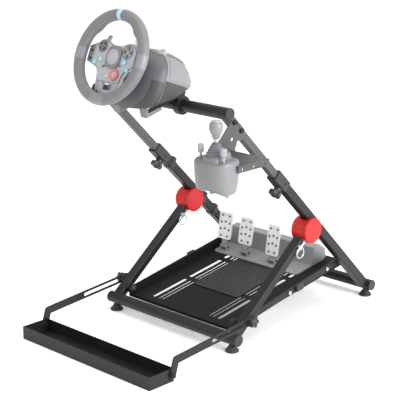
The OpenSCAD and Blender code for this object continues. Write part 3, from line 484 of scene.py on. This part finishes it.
CAP = [(14.2, -9), (14.2, -0.1), (15.9, 0), (16.2, 0.6), (15.8, 1.7), (14.6, 2.2), (13.2, 2.0),
       (12.6, 1.4), (0, 1.2)]
for node, body in (("rear_cross_tube", "post_frame"), ("front_cross_tube", "leg_frame"),
                   ("top_cross_tube", "upper_frame")):
    low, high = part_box(node)
    centre = middle(node)
    for side, label in ((-1, "left"), (1, "right")):
        end = Vector((high.x if side > 0 else low.x, centre.y, centre.z))
        m = Matrix.Translation(end) @ Matrix.Rotation(side * math.pi / 2, 4, "Y")
        piece(node.replace("cross_tube", "tube_cap_") + label, *lathe(CAP, 56), BLACK, body,
              "black_plastic", m)

FOOT = [(17.4, 0), (18.6, 0.6), (19, 2), (18.9, 3.8), (17.9, 5.6), (15.4, 8.0), (12.8, 10.8), (11.2, 13.6),
        (10.4, 16), (9.2, 17.3), (5, 17.6)]
for node, body in (("rear_feet", "post_frame"), ("front_feet", "leg_frame")):
    m = Matrix.Translation((MID_X, middle(node).y, 0))
    both = [at(side * POST_X / MM, 0, 0) for side in (-1, 1)]
    piece(node.replace("feet", "rubber_feet"), *join_meshes([moved(lathe(FOOT, 56), p) for p in both]),
          RUBBER, body, "rubber", m, replaces=(node,))
    nuts = [moved(part, p) for p in both for part in
            (moved(hex_head(8.4, 4.6), at(0, 0, 17.6)), lathe([(4, 16), (4, 27)], 20))]
    piece(node.replace("feet", "foot_nuts"), *join_meshes(nuts), SCREW, body, "zinc_steel", m)


def star_knob(name, m, body, r, h, lobes, stud, boss=9.0):
    """A clamp knob with rounded lobes; its screw runs along -Z."""
    levels = [(0.84, 0), (0.93, 0.5), (0.98, 1.6), (1.0, 3.0), (1.0, h - 4), (0.985, h - 2.2),
              (0.94, h - 0.8),
              (0.86, h)]
    outline = star_outline(r, lobes, 0.30)
    rings = [[(x * s, y * s, z) for x, y in outline] for s, z in levels]
    n = len(outline)
    for rr, z in ((boss + 1.6, h), (boss, h + 0.4), (boss - 1.2, h + 2.2), (boss - 3, h + 2.5),
                  (boss - 4, h + 1.6)):
        rings.append([(rr * math.cos(TAU * k / n), rr * math.sin(TAU * k / n), z) for k in range(n)])
    obj = piece(name + "_grip", *skin(rings), BLACK, body, "black_plastic", m, sharp=50, replaces=(name,))
    screw = lathe([(3.4, -stud), (4, -stud + 0.8), (4, 0)], 28)
    washer = lathe([(4.1, -0.3), (boss - 1, -0.3), (boss - 1, 0.1), (4.1, 0.1)], 36)
    piece(name + "_screw", *join_meshes([screw, washer]), ZINC, body, "zinc_steel", m)
    return obj


def along_axis(joint, start):
    """A frame at start whose Z runs along the joint's axis."""
    z = axis(joint)
    m = z.to_track_quat("Z", "Y").to_matrix().to_4x4()
    m.translation = start
    return m


def knob_base(node, joint, height):
    """The point on the joint's axis where the knob's face lies, height before its far end."""
    ax, origin = axis(joint), pos(joint)
    far = max((v.co - origin).dot(ax) for v in nodes[node].data.vertices)
    return origin + ax * (far - height * MM)


for side in ("left", "right"):
    for node, joint, body, r, h, lobes, stud, boss in (
            ("post_knob_", "post_screw_%s_turn", "post_screw_", 19, 15, 5, 14.1, 9),
            ("arm_knob_", "arm_screw_%s_turn", "arm_screw_", 17, 13.5, 5, 38, 9),
            ("plate_knob_", "plate_screw_%s_turn", "plate_screw_", 11, 11, 8, 21.5, 6)):
        ax = axis(joint % side)
        flip = -1 if node == "plate_knob_" else 1
        m = (ax * flip).to_track_quat("Z", "Y").to_matrix().to_4x4()
        origin = pos(joint % side)
        reach = [(v.co - origin).dot(ax * flip) for v in nodes[node + side].data.vertices]
        m.translation = origin + ax * flip * (max(reach) - (h + 2.5) * MM)
        star_knob(node + side, m, body + side, r, h, lobes, stud, boss)

# Screws in the collars and the bracket
for side, label in ((-1, "left"), (1, "right")):
    m = turned(POST, side * 227 + 16.6, 0, 550, ry=90)
    piece("collar_screw_" + label, *socket_screw(3.4, 1.4), SCREW, "post_frame", "black_plastic", m)
for k, along in enumerate((838, 802)):
    m = turned(POST, 241.4, 0, along, ry=90)
    washer = lathe([(3, -0.2), (7.6, -0.2), (7.6, 0.9), (3, 0.9)], 36)
    piece("bracket_screw_%d" % (k + 1), *join_meshes([washer,
                                                      moved(socket_screw(5.6, 5), at(0, 0, 0.9))]), SCREW,
          "upper_frame", "black_plastic", m)


# Clips that hold a cable on the left post; each is a band with a loop on the post's upper face
def band(w, h, t, length):
    outer, inner = round_rect(w + 2 * t, h + 2 * t, 4), round_rect(w, h, 3)
    z0, z1 = 0, length
    rings = [[(x, y, z) for x, y in line] for line,
             z in ((outer, z0), (outer, z1), (inner, z1), (inner, z0))]
    return skin(rings, closed=True)


def loop_block(w, d, h):
    """A block whose top is rounded, on the plane z = 0."""
    levels = [(1, 0), (1, h - 3), (0.96, h - 1.2), (0.86, h - 0.2), (0.7, h)]
    outline = round_rect(w, d, 3, 4)
    return skin([[(x * s, y * s, z) for x, y in outline] for s, z in levels])


for k, (along, w, h) in enumerate(((496, 27.4, 11), (338, 27.4, 12), (304, 27.4, 10), (236, 27.4, 9))):
    parts = [band(w, 26.2, 1.6, 16), moved(loop_block(20, 15, h), at(0, 13.4, 8, rx=-90))]
    piece("cable_clip_%d" % (k + 1), *join_meshes(parts), BLACK, "post_frame", "black_plastic",
          turned(POST, -227, 0, along), bevel=0.5)

# Bright tongues where the legs enter the drums
leg_len = (pos("leg_fold") - front_tube).yz.length / MM
for side, label in ((-1, "left"), (1, "right")):
    outline = [(3, -44), (9.5, -44), (10.5, -40), (10.5, 4), (2, 10), (-6, 6), (4, -6)]
    m = turned(LEG, side * 227 + 14.2, 0, leg_len - 38)
    part = prism([(-z, y) for y, z in outline][::-1], -0.2, 1.0)
    piece("leg_tongue_" + label, *moved(part, Matrix.Rotation(math.pi / 2, 4, "Y")), ZINC, "leg_frame",
          "zinc_steel", m)

# Side rails: middle bolt, stop block and rear bolt
for side, label in ((-1, "left"), (1, "right")):
    face = side * 210.5
    m = turned(DECK, face, 0, 0, ry=90 * side)
    for tag, y, z, part, mat, slot in (
            ("bolt", 225, -2, hex_head(6.4, 4.4), ZINC, "zinc_steel"),
            ("rear_bolt", 397, 3, hex_head(6.0, 4.0), ZINC, "zinc_steel"),
            ("stop_block", 267, 0, prism(round_rect(20, 30, 3), 0, 7, 1.2), BLACK, "black_plastic")):
        piece("rail_%s_%s" % (tag, label), *moved(part, at(-z * side, y, 0)), mat, "pedal_deck", slot, m)

# Tray: screws at the ends of its arms
tray_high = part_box("stop_tray")[1]
arm_low, arm_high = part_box("tray_arms")
for side, label in ((-1, "left"), (1, "right")):
    x = arm_high.x if side > 0 else arm_low.x
    m = Matrix.Translation((x, tray_high.y - 0.007, 0.018)) @ Matrix.Rotation(side * math.pi / 2, 4, "Y")
    parts = [lathe([(3, 0), (9, 0), (9, 1), (3, 1)], 36), moved(socket_screw(6, 4.6), at(0, 0, 1))]
    piece("tray_screw_" + label, *join_meshes(parts), SCREW, "tray_carriage", "zinc_steel", m)
    nut = moved(hex_head(7, 4.5), at(0, 0, -4 - 2.5 - 4.5))
    piece("tray_nut_" + label, *nut, SCREW, "tray_carriage", "zinc_steel", m)

# Heel mat with raised grips and a rim
MAT_FRAME = turned(DECK, 0, -8 + 243, -14.8)
parts = [prism(round_rect(176, 194, 8), 0, 1.5, 0.5)]
outer, inner = round_rect(176, 194, 8), round_rect(170, 188, 6)
parts.append(skin([[(x, y, z) for x, y in line] for line, z in
                   ((outer, 1.0), (outer, 2.3), (inner, 2.3), (inner, 1.0))], closed=True))
for row in range(11):
    for column in range(9):
        x = (column - 4) * 17 + (row % 2) * 8.5 - 4.25
        dash = prism(round_rect(9, 4, 1.9, 3), 1.2, 2.5, 0.4)
        parts.append(moved(dash, at(x, (row - 5) * 15.5, 0, rz=90 if (row + column) % 2 else 0)))
piece("heel_mat_grips", *join_meshes(parts), MAT, "pedal_deck", "mat_rubber", MAT_FRAME,
      replaces=("heel_mat",))


# ---------- Steering wheel ----------

RIM_R, SECTION = 110.5, 15.5


def rim_ring(theta, grow=0.0, steps=32):
    """The rim's section at the angle theta from its top, in degrees."""
    grip = sum(math.exp(-((((theta - c + 180) % 360) - 180) / 10) ** 2) for c in (46, -46))
    ring = []
    a = math.radians(theta)
    for k in range(steps):
        p = TAU * k / steps
        r = SECTION - 0.6 + grow
        inward = max(0, -math.cos(p))
        r += 6.0 * grip * inward ** 2
        radial = RIM_R + r * math.cos(p)
        ring.append((radial * math.sin(a), radial * math.cos(a), r * math.sin(p)))
    return ring


piece("rim_grip", *skin([rim_ring(1.5 * k) for k in range(240)], closed=True), LEATHER, "steering",
      "rim_leather", WHEEL, replaces=("rim",), sharp=80)


def rim_band(name, start, end, grow, mat, slot):
    steps = max(3, int((end - start) / 1.5))
    rings = [rim_ring(start - 0.25, 0.0)]
    rings += [rim_ring(start + (end - start) * k / steps, grow) for k in range(steps + 1)]
    rings.append(rim_ring(end + 0.25, 0.0))
    piece(name, *skin(rings), mat, "steering", slot, WHEEL, sharp=50)


rim_band("rim_marker", -2.1, 2.1, 0.5, BLUE, "button_blue")
rim_band("rim_marker_edge_left", -3.5, -2.5, 0.45, WHITE_KEY, "button_grey")
rim_band("rim_marker_edge_right", 2.5, 3.5, 0.45, WHITE_KEY, "button_grey")
rim_band("rim_collar_right", 82, 99, 0.55, COLLAR, "hub_plastic")
rim_band("rim_collar_left", 261, 278, 0.55, COLLAR, "hub_plastic")
rim_band("rim_collar_low", 168, 192, 0.55, COLLAR, "hub_plastic")
stitches = []
for k in range(170):
    theta = 360 * (k + 0.5) / 170
    if min(abs((theta - c + 180) % 360 - 180) for c in (90, 180, 270)) < 13 or min(theta, 360 - theta) < 6:
        continue
    a, b = (rim_ring(theta + d, 0.25) for d in (-0.5, 0.5))
    stitches.append(sweep([a[13], b[16], a[19]], 0.42, 6))
piece("rim_stitches", *join_meshes(stitches), THREAD, "steering", "rim_leather", WHEEL, sharp=80)

# Hub: centre pad, trim, keys, rings round the controls
HUB_Z = -10.5
pad = smooth_outline([(0, 30), (17, 27), (25, 12), (25, -12), (17, -26), (0, -29), (-17, -26), (-25, -12),
                      (-25, 12), (-17, 27)][::-1], 5)
piece("hub_pad", *moved(prism(pad, 0, 4, 1.2), at(1, 2, HUB_Z)), HUB_DARK, "steering", "hub_plastic", WHEEL)
ring = [(20.4, 0), (20.4, 1.2), (19.9, 1.6), (17.6, 1.6), (17.1, 1.2), (17.1, 0.5), (16, 0.5), (14.6, 1.0),
        (8, 1.9), (0, 2.2)]
piece("hub_pad_ring", *moved(lathe(ring, 64), at(1, 2, HUB_Z + 3.8)), HUB_SKIN, "steering", "hub_plastic",
      WHEEL)
base_ring = [(12.6, -1), (12.6, 0.9), (13.4, 1.5), (16.2, 1.5), (17, 0.8), (17, -1)]
piece("dpad_ring", *moved(skin([[(r * math.cos(TAU * k / 56), r * math.sin(TAU * k / 56),
                                  z) for k in range(56)]
                                for r, z in base_ring], closed=True), at(-48, 27, HUB_Z)),
      HUB_DARK, "steering", "hub_plastic", WHEEL)
cluster = smooth_outline([(0, 19), (13, 13), (19, 0), (13, -13), (0, -19), (-13, -13), (-19, 0),
                          (-13, 13)][::-1], 5)
tops = [[(x, y, z) for x, y in line] for line, z in ((cluster, -0.5), (cluster, 0.6),
                                                     (inset(cluster, 0.8), 1.2),
                                                     (inset(cluster, 2.6), 1.2),
                                                     (inset(cluster, 3.0), 0.2))]
piece("button_ring", *moved(skin(tops + [[(x, y, -0.5) for x, y in inset(cluster, 3.0)]], closed=True),
                            at(45, 20, HUB_Z)), HUB_DARK, "steering", "hub_plastic", WHEEL)
for label, x, y, w, h, turn, mat, slot in (
        ("plus", -42, -44, 9, 5, 20, WHITE_KEY, "button_grey"),
        ("minus", -7, -48, 9, 5, -12, WHITE_KEY, "button_grey"),
        ("menu_left", -27, -24, 11, 6, 25, BUTTON_DARK, "hub_plastic"),
        ("menu_right", 27, -16, 11, 6, -25, BUTTON_DARK, "hub_plastic")):
    piece("hub_key_" + label, *moved(prism(round_rect(w, h, 2.2), -1, 1.9, 0.6),
                                     at(x, y, HUB_Z, rz=turn)), mat,
          "steering", slot, WHEEL)
for label, x, y in (("left", -68, -17), ("right", 55, -25)):
    dome = lathe([(5.6, -3), (5.6, 1.2), (5.0, 2.2), (3.4, 3.0), (0, 3.3)], 40)
    piece("hub_lens_" + label, *moved(dome, at(x, y, HUB_Z - 2)), BLUE, "steering", "button_blue", WHEEL)
dial_cap = lathe([(8.5, -2.4), (8.5, 0.3), (7.8, 1.0), (5, 1.3), (4.4, 0.9), (0, 0.7)], 48)
piece("dial_cap", *moved(dial_cap, at(20, -42, HUB_Z + 3.6)), HUB_SKIN, "dial", "hub_plastic", WHEEL)
trim_parts = [moved(prism([(-15, -6), (15, -6), (12, 6), (-12, 6)], 0, 1.4, 0.4), at(0, -90, -13.6))]
for side in (-1, 1):
    wing = [(18, -60), (36, -62), (36, -84), (22, -92), (18, -88)]
    wing = [(side * x, y) for x, y in wing]
    wing = wing[::-1] if side > 0 else wing
    trim_parts.append(moved(prism(wing, 0, 1.4, 0.4), at(0, 0, -13.6)))
piece("lower_spoke_trim", *join_meshes(trim_parts), BUTTON, "steering", "hub_metal", WHEEL)
for k, (x, y) in enumerate(((-86, 12), (86, 12), (-86, -8), (86, -8), (-30, -90), (30, -90))):
    piece("spoke_screw_%d" % (k + 1), *moved(socket_screw(3.0, 1.8), at(x, y, -13.5)), SCREW, "steering",
          "hub_metal", WHEEL)


# ---------- Wheel base ----------

PLATE_TOP = 35 * MM


def base_ring_points(s, half_w, top, bottom, centre, power, grow=0.0, span=None, steps=72):
    """A ring of the base in the wheel's frame; it ends flat on the wheel plate."""
    out = []
    angles = [TAU * k / steps for k in range(steps)] if span is None else span
    for a in angles:
        c, q = math.cos(a), math.sin(a)
        x = (half_w + grow) * math.copysign(abs(c) ** (2 / power), c)
        reach = (top - centre + grow) if q > 0 else (centre - bottom)
        t = centre + reach * math.copysign(abs(q) ** (2 / power), q)
        p = WHEEL @ (Vector((x, t, -s)) * MM)
        d = (p - PLATE.translation).dot(plate_up) - PLATE_TOP
        if d < 0:
            p -= plate_up * d
        out.append(WHEEL.inverted() @ p / MM)
    return out


FRONT_RINGS = [(79, 40, 10, -70, -28, 2.1), (79.6, 52, 18, -82, -28, 2.2), (82, 62, 26, -92, -28, 2.3),
               (88, 74, 36, -104, -28, 2.4), (96, 84, 45, -114, -28, 2.5), (104, 91, 51, -121, -28, 2.6),
               (111, 94, 54, -124, -28, 2.7), (117, 94.6, 55.6, -125, -28, 2.7)]
REAR_RINGS = [(118.4, 93, 54, -124, -28, 2.8), (119.2, 94.6, 55.6, -125, -28, 2.8),
              (130, 95, 58, -125, -28, 2.8),
              (160, 95, 60, -125, -27, 2.9), (188, 93.5, 57, -125, -25, 3.0), (205, 90, 50, -120, -24, 2.9),
              (222, 84, 39, -108, -24, 2.7), (236, 75, 26, -90, -24, 2.6), (246, 64, 12, -72, -24, 2.5),
              (253, 50, -2, -54, -25, 2.4), (256.6, 34, -14, -40, -26, 2.3),
              (257.6, 18, -20, -32, -26, 2.2)]
NOSE = [(24, 45), (34, 44), (37, 45.5), (38, 49), (38, 84)]
piece("base_nose", *moved(lathe([(r, -s) for r, s in NOSE], 72), at(0, 0, 0)), SHELL_DARK, "wheel_mount",
      "shell_dark", WHEEL)
piece("base_front", *skin([base_ring_points(*r) for r in FRONT_RINGS]), SHELL_DARK, "wheel_mount",
      "shell_dark",
      WHEEL, replaces=("base_front_shell",), sharp=48)
piece("base_rear", *skin([base_ring_points(*r) for r in REAR_RINGS]), SHELL, "wheel_mount", "shell_grey",
      WHEEL,
      replaces=("base_rear_shell",), sharp=48)


def base_strip(name, rings, a0, a1, grow, mat, slot, steps=20):
    """A panel that lies on the base between two angles, standing grow proud."""
    span = [math.radians(a0 + (a1 - a0) * k / steps) for k in range(steps + 1)]
    lines = []
    for k, r in enumerate(rings):
        end = k in (0, len(rings) - 1)
        outer = base_ring_points(*r, grow=grow * (0.4 if end else 1), span=span)
        inner = base_ring_points(*r, grow=-2.5, span=span)
        lines.append(outer + inner[::-1])
    piece(name, *skin(lines), mat, "wheel_mount", slot, WHEEL, sharp=40)


TOP_RINGS = [(104, 91, 51, -121, -28, 2.6), (105, 91, 51.5, -121, -28, 2.6),
             (117, 94.6, 55.6, -125, -28, 2.7),
             (135, 95, 59, -125, -28, 2.8), (160, 95, 60, -125, -27, 2.9), (188, 93.5, 57, -125, -25, 3.0),
             (205, 90, 50, -120, -24, 2.9), (214, 87, 45, -114, -24, 2.8), (215, 87, 44, -114, -24, 2.8)]
base_strip("base_top_cover", TOP_RINGS, 58, 122, 3.0, SHELL_TOP, "shell_grey", 28)
SIDE_RINGS = [(126, 95, 57, -125, -28, 2.8), (127, 95, 57.4, -125, -28, 2.8), (160, 95, 60, -125, -27, 2.9),
              (188, 93.5, 57, -125, -25, 3.0), (205, 90, 50, -120, -24, 2.9), (222, 84, 39, -108, -24, 2.7),
              (223, 84, 38, -107, -24, 2.7)]
base_strip("base_side_panel_right", SIDE_RINGS, 6, 42, 1.6, SHELL, "shell_grey", 18)
base_strip("base_side_panel_left", SIDE_RINGS, 138, 174, 1.6, SHELL, "shell_grey", 18)
skirt = [(119.6, 94.6, 55.6, -125, -28, 2.8), (120.4, 94.8, 56, -125, -28, 2.8),
         (130, 95, 58, -125, -28, 2.8),
         (160, 95, 60, -125, -27, 2.9), (188, 93.5, 57, -125, -25, 3.0), (205, 90, 50, -120, -24, 2.9),
         (222, 84, 39, -108, -24, 2.7), (223, 84, 38, -107, -24, 2.7)]
base_strip("base_skirt_right", skirt, -75, 3, 1.3, SKIRT, "shell_dark", 18)
base_strip("base_skirt_left", skirt, 177, 255, 1.3, SKIRT, "shell_dark", 18)
front_skirt = [(88, 74, 36, -104, -28, 2.4), (89, 75, 37, -105, -28, 2.4), (96, 84, 45, -114, -28, 2.5),
               (104, 91, 51, -121, -28, 2.6), (111, 94, 54, -124, -28, 2.7),
               (116, 94.6, 55.6, -125, -28, 2.7)]
base_strip("base_front_skirt_right", front_skirt, -75, 1, 1.3, SKIRT, "shell_dark", 18)
base_strip("base_front_skirt_left", front_skirt, 177, 255, 1.3, SKIRT, "shell_dark", 18)
seam = [(117, 95.2, 56.4, -125.6, -28, 2.75), (118.6, 95.2, 56.4, -125.6, -28, 2.75)]
piece("base_seam", *skin([base_ring_points(*r) for r in seam]), HUB_DARK, "wheel_mount", "shell_dark",
      WHEEL)

for side in ("left", "right"):
    joint = "clamp_screw_%s_turn" % side
    m = along_axis(joint, pos(joint))
    m.translation = knob_base("clamp_knob_" + side, joint, 14)
    outline = star_outline(12.8, 20, 0.10, 160)
    levels = [(0.92, 0), (1, 1), (1, 11.5), (0.96, 13), (0.88, 13.8), (0.62, 14), (0.58, 12.6)]
    piece("clamp_knob_%s_grip" % side, *skin([[(x * s, y * s, z) for x, y in outline] for s, z in levels]),
          BUTTON, "clamp_screw_" + side, "button_grey", m, replaces=("clamp_knob_" + side,), sharp=50)
    piece("clamp_knob_%s_stem" % side, *lathe([(4.6, -24), (5, -23.4), (5, 0.4)], 32), LEVER_METAL,
          "clamp_screw_" + side, "motor_steel", m)


# ---------- Shifter ----------

def lump(x, low, high):
    return min(1.0, max(0.0, (x - low) / (high - low)))


def shell_ring(z, scale, w=112, d=92):
    """A ring of the shifter's body; its underside rises to the front and its top falls to the front."""
    out = []
    for k in range(64):
        a = TAU * k / 64
        c, q = math.cos(a), math.sin(a)
        power = 2.9 if q > 0 else 2.3
        x = w / 2 * scale * math.copysign(abs(c) ** (2 / power), c)
        y = d / 2 * scale * math.copysign(abs(q) ** (2 / power), q)
        under = -48 + 26 * lump(-y, 10, 48) ** 1.3
        over = 40 - 10 * lump(-y, 0, 48)
        out.append((x, y, max(under + (z + 48) * 0.12, min(z, over - (36 - z) * 0.05))))
    return out


BODY_RINGS = [(-48, 0.62), (-47.6, 0.76), (-45.5, 0.83), (-40, 0.885), (-28, 0.935), (-10, 0.972),
              (8, 0.995),
              (22, 1.0), (30, 1.0), (34, 0.985), (36.6, 0.95), (38, 0.90), (38.4, 0.80)]
piece("shifter_shell", *skin([shell_ring(z, s) for z, s in BODY_RINGS]), SHIFTER, "upper_frame",
      "shifter_grey",
      LEVER, replaces=("shifter_body",), sharp=50)


def console_ring(level, scale):
    """A ring of the console; its top slopes up to the rear."""
    out = []
    for x, y in round_rect(50 * scale, 62 * scale, 13 * scale, 8):
        top = 45 + 10 * lump(y, -30, 28)
        out.append((x, y + 3, 32 + (top - 32) * level))
    return out


piece("shifter_console", *skin([console_ring(level, s) for level, s in
                                ((0, 1.12), (0.35, 1.06), (0.7, 1.0), (0.9, 0.96), (0.98, 0.91),
                                 (1.0, 0.84),
                                 (0.94, 0.80), (0.93, 0.5))]), SHIFTER_TOP, "upper_frame", "shifter_grey",
                                 LEVER,
      sharp=60)
boot = []
for k in range(29):
    t = k / 28
    r = 20.5 * (1 - t) ** 0.8 + 6.8 + 1.1 * math.sin(t * TAU * 5)
    boot.append((r, 44 + 36 * t))
piece("shifter_boot", *lathe(boot, 48), BOOT, "lever", "black_plastic", LEVER, sharp=80)
knob = [(5.2, 88), (8.2, 89), (9.6, 91), (10.4, 95), (12.6, 99.5), (15.2, 104.5), (17.0, 110),
        (17.8, 115.5), (17.5, 121),
        (15.9, 126.4), (12.6, 130.6), (8, 133.0), (3, 133.9), (0, 134)]
piece("shifter_knob", *lathe(knob, 64), KNOB_SKIN, "lever", "lever_metal", LEVER,
      replaces=("shifter_lever",),
             sharp=60)
piece("shifter_knob_cap", *lathe([(10.8, 129.5), (10.8, 132.4), (9.8, 133.6), (4, 134), (0, 134)], 48),
      LEVER_METAL,
      "lever", "lever_metal", LEVER)
piece("shifter_rod", *join_meshes([lathe([(4.4, -5), (5, -4.4), (5, 88.4)], 36),
                                   moved(lathe([(2, -7.6), (2, 7.6)], 20), at(0, 0, 0, rx=90)),
                                   lathe([(6.6, 84), (7.4, 84.6), (7.4, 88), (6.4, 88.8)], 36)]),
                                   LEVER_METAL,
      "lever", "lever_metal", LEVER)
for side, label in ((-1, "left"), (1, "right")):
    outline = star_outline(7.6, 16, 0.12, 128)
    levels = [(0.9, 60), (1, 61), (1, 78), (0.94, 79.6), (0.8, 80), (0.66, 80), (0.62, 78.8)]
    parts = [skin([[(x * s, y * s, z) for x, y in outline] for s, z in levels]),
             lathe([(3.4, 34), (3.4, 60.4)], 24), lathe([(8.6, 36), (8.6, 41), (7.4, 42.4), (3.6, 42.6)],
                                                        36)]
    piece("shifter_clamp_knob_" + label, *moved(join_meshes(parts), at(side * 38, -14, -8)), BUTTON,
          "upper_frame",
          "shifter_grey", LEVER, sharp=50)
    foot = lathe([(3.2, -44), (3.2, -52), (5.6, -52.6), (6.2, -54), (6.2, -57.6), (5.4, -58.4),
                  (0, -58.6)], 32)
    piece("shifter_clamp_foot_" + label, *moved(foot, at(side * 26, 14, 0)), BUTTON, "upper_frame", "shifter_grey",
          LEVER)
    tab = prism([(-6, -10), (7, -10), (9, -2), (9, 6), (-6, 6)], -4, 4, 1.0)
    piece("shifter_clamp_arm_" + label, *moved(tab, at(side * 30, 40, 4, rz=0 if side > 0 else 90)), SHIFTER,
          "upper_frame", "shifter_grey", LEVER)


# ---------- Pedals ----------

STUDS = [(-0.27, 0.37), (0.27, 0.37), (-0.31, 0.11), (0, 0.15), (0.31, 0.11), (-0.31, -0.14), (0, -0.1),
         (0.31, -0.14), (-0.24, -0.38), (0.24, -0.38)]
for label, w, h in (("throttle", 48, 94), ("brake", 54, 84), ("clutch", 54, 84)):
    m = pedal_frame(label + "_press")
    one = lathe([(2.5, -3.2), (2.5, 0), (3.5, 0.1), (3.6, 0.9), (3.0, 1.7), (1.6, 2.1), (0, 2.2)], 24)
    parts = [moved(one, at(x * w, -10, 108 - h / 2 + y * h, rx=90)) for x, y in STUDS]
    piece(label + "_studs", *join_meshes(parts), STUD, label, "black_plastic", m)
    cap = [moved(socket_screw(3.4, 2.2), at(side * 13.4, 0, 0, ry=90 * side)) for side in (-1, 1)]
    piece(label + "_pivot_screws", *join_meshes(cap), SCREW, "pedal_deck", "zinc_steel", m)


# ---------- Floor, light and camera ----------

floor_mesh = bpy.data.meshes.new("floor")
floor_mesh.from_pydata([(-30, -30, 0), (30, -30, 0), (30, 30, 0), (-30, 30, 0)], [], [(0, 1, 2, 3)])
floor = bpy.data.objects.new("floor", floor_mesh)
bpy.context.scene.collection.objects.link(floor)
pale = material("pale floor", (0.97, 0.97, 0.97), 0.7, vary=0.005, grain=60, bump=0.01, specular=0.1)
pale.node_tree.nodes["Principled BSDF"].inputs["Emission Color"].default_value = (1, 1, 1, 1)
pale.node_tree.nodes["Principled BSDF"].inputs["Emission Strength"].default_value = 0.16
floor_mesh.materials.append(pale)
floor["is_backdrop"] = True

world = bpy.data.worlds.new("studio")
bpy.context.scene.world = world
world.use_nodes = True
world.node_tree.nodes["Background"].inputs["Color"].default_value = (1, 1, 1, 1)
world.node_tree.nodes["Background"].inputs["Strength"].default_value = 0.86


def softbox(name, place, target, size, power):
    light = bpy.data.lights.new(name, "AREA")
    light.shape = "RECTANGLE"
    light.size, light.size_y = size
    light.energy = power
    obj = bpy.data.objects.new(name, light)
    bpy.context.scene.collection.objects.link(obj)
    obj.location = place
    obj.rotation_mode = "QUATERNION"
    obj.rotation_quaternion = (Vector(target) - Vector(place)).to_track_quat("-Z", "Y")


softbox("key", (4.6, 0.2, 2.0), (0, 0, 0.4), (3.4, 2.4), 300)
softbox("fill", (-1.6, -3.4, 2.6), (0, 0, 0.4), (2.2, 2.2), 30)
softbox("top", (0.2, 0.4, 3.8), (0, 0, 0.3), (3.4, 3.4), 55)

AZIMUTH, ELEVATION, DISTANCE = math.radians(43.72), math.radians(16.25), 3.4297
target = Vector((MID_X, front_tube.y + 0.0838, 0.3465))
back = Vector((math.sin(AZIMUTH) * math.cos(ELEVATION), -math.cos(AZIMUTH) * math.cos(ELEVATION),
               math.sin(ELEVATION)))
camera_data = bpy.data.cameras.new("camera")
camera_data.lens = 110.9
camera_data.shift_x, camera_data.shift_y = 0.0186, 0.0127
camera = bpy.data.objects.new("camera", camera_data)
bpy.context.scene.collection.objects.link(camera)
camera.location = target + back * DISTANCE
camera.rotation_mode = "QUATERNION"
camera.rotation_quaternion = (-back).to_track_quat("-Z", "Y")
bpy.context.scene.camera = camera
bpy.context.scene.view_settings.view_transform = "Standard"

low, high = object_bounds()
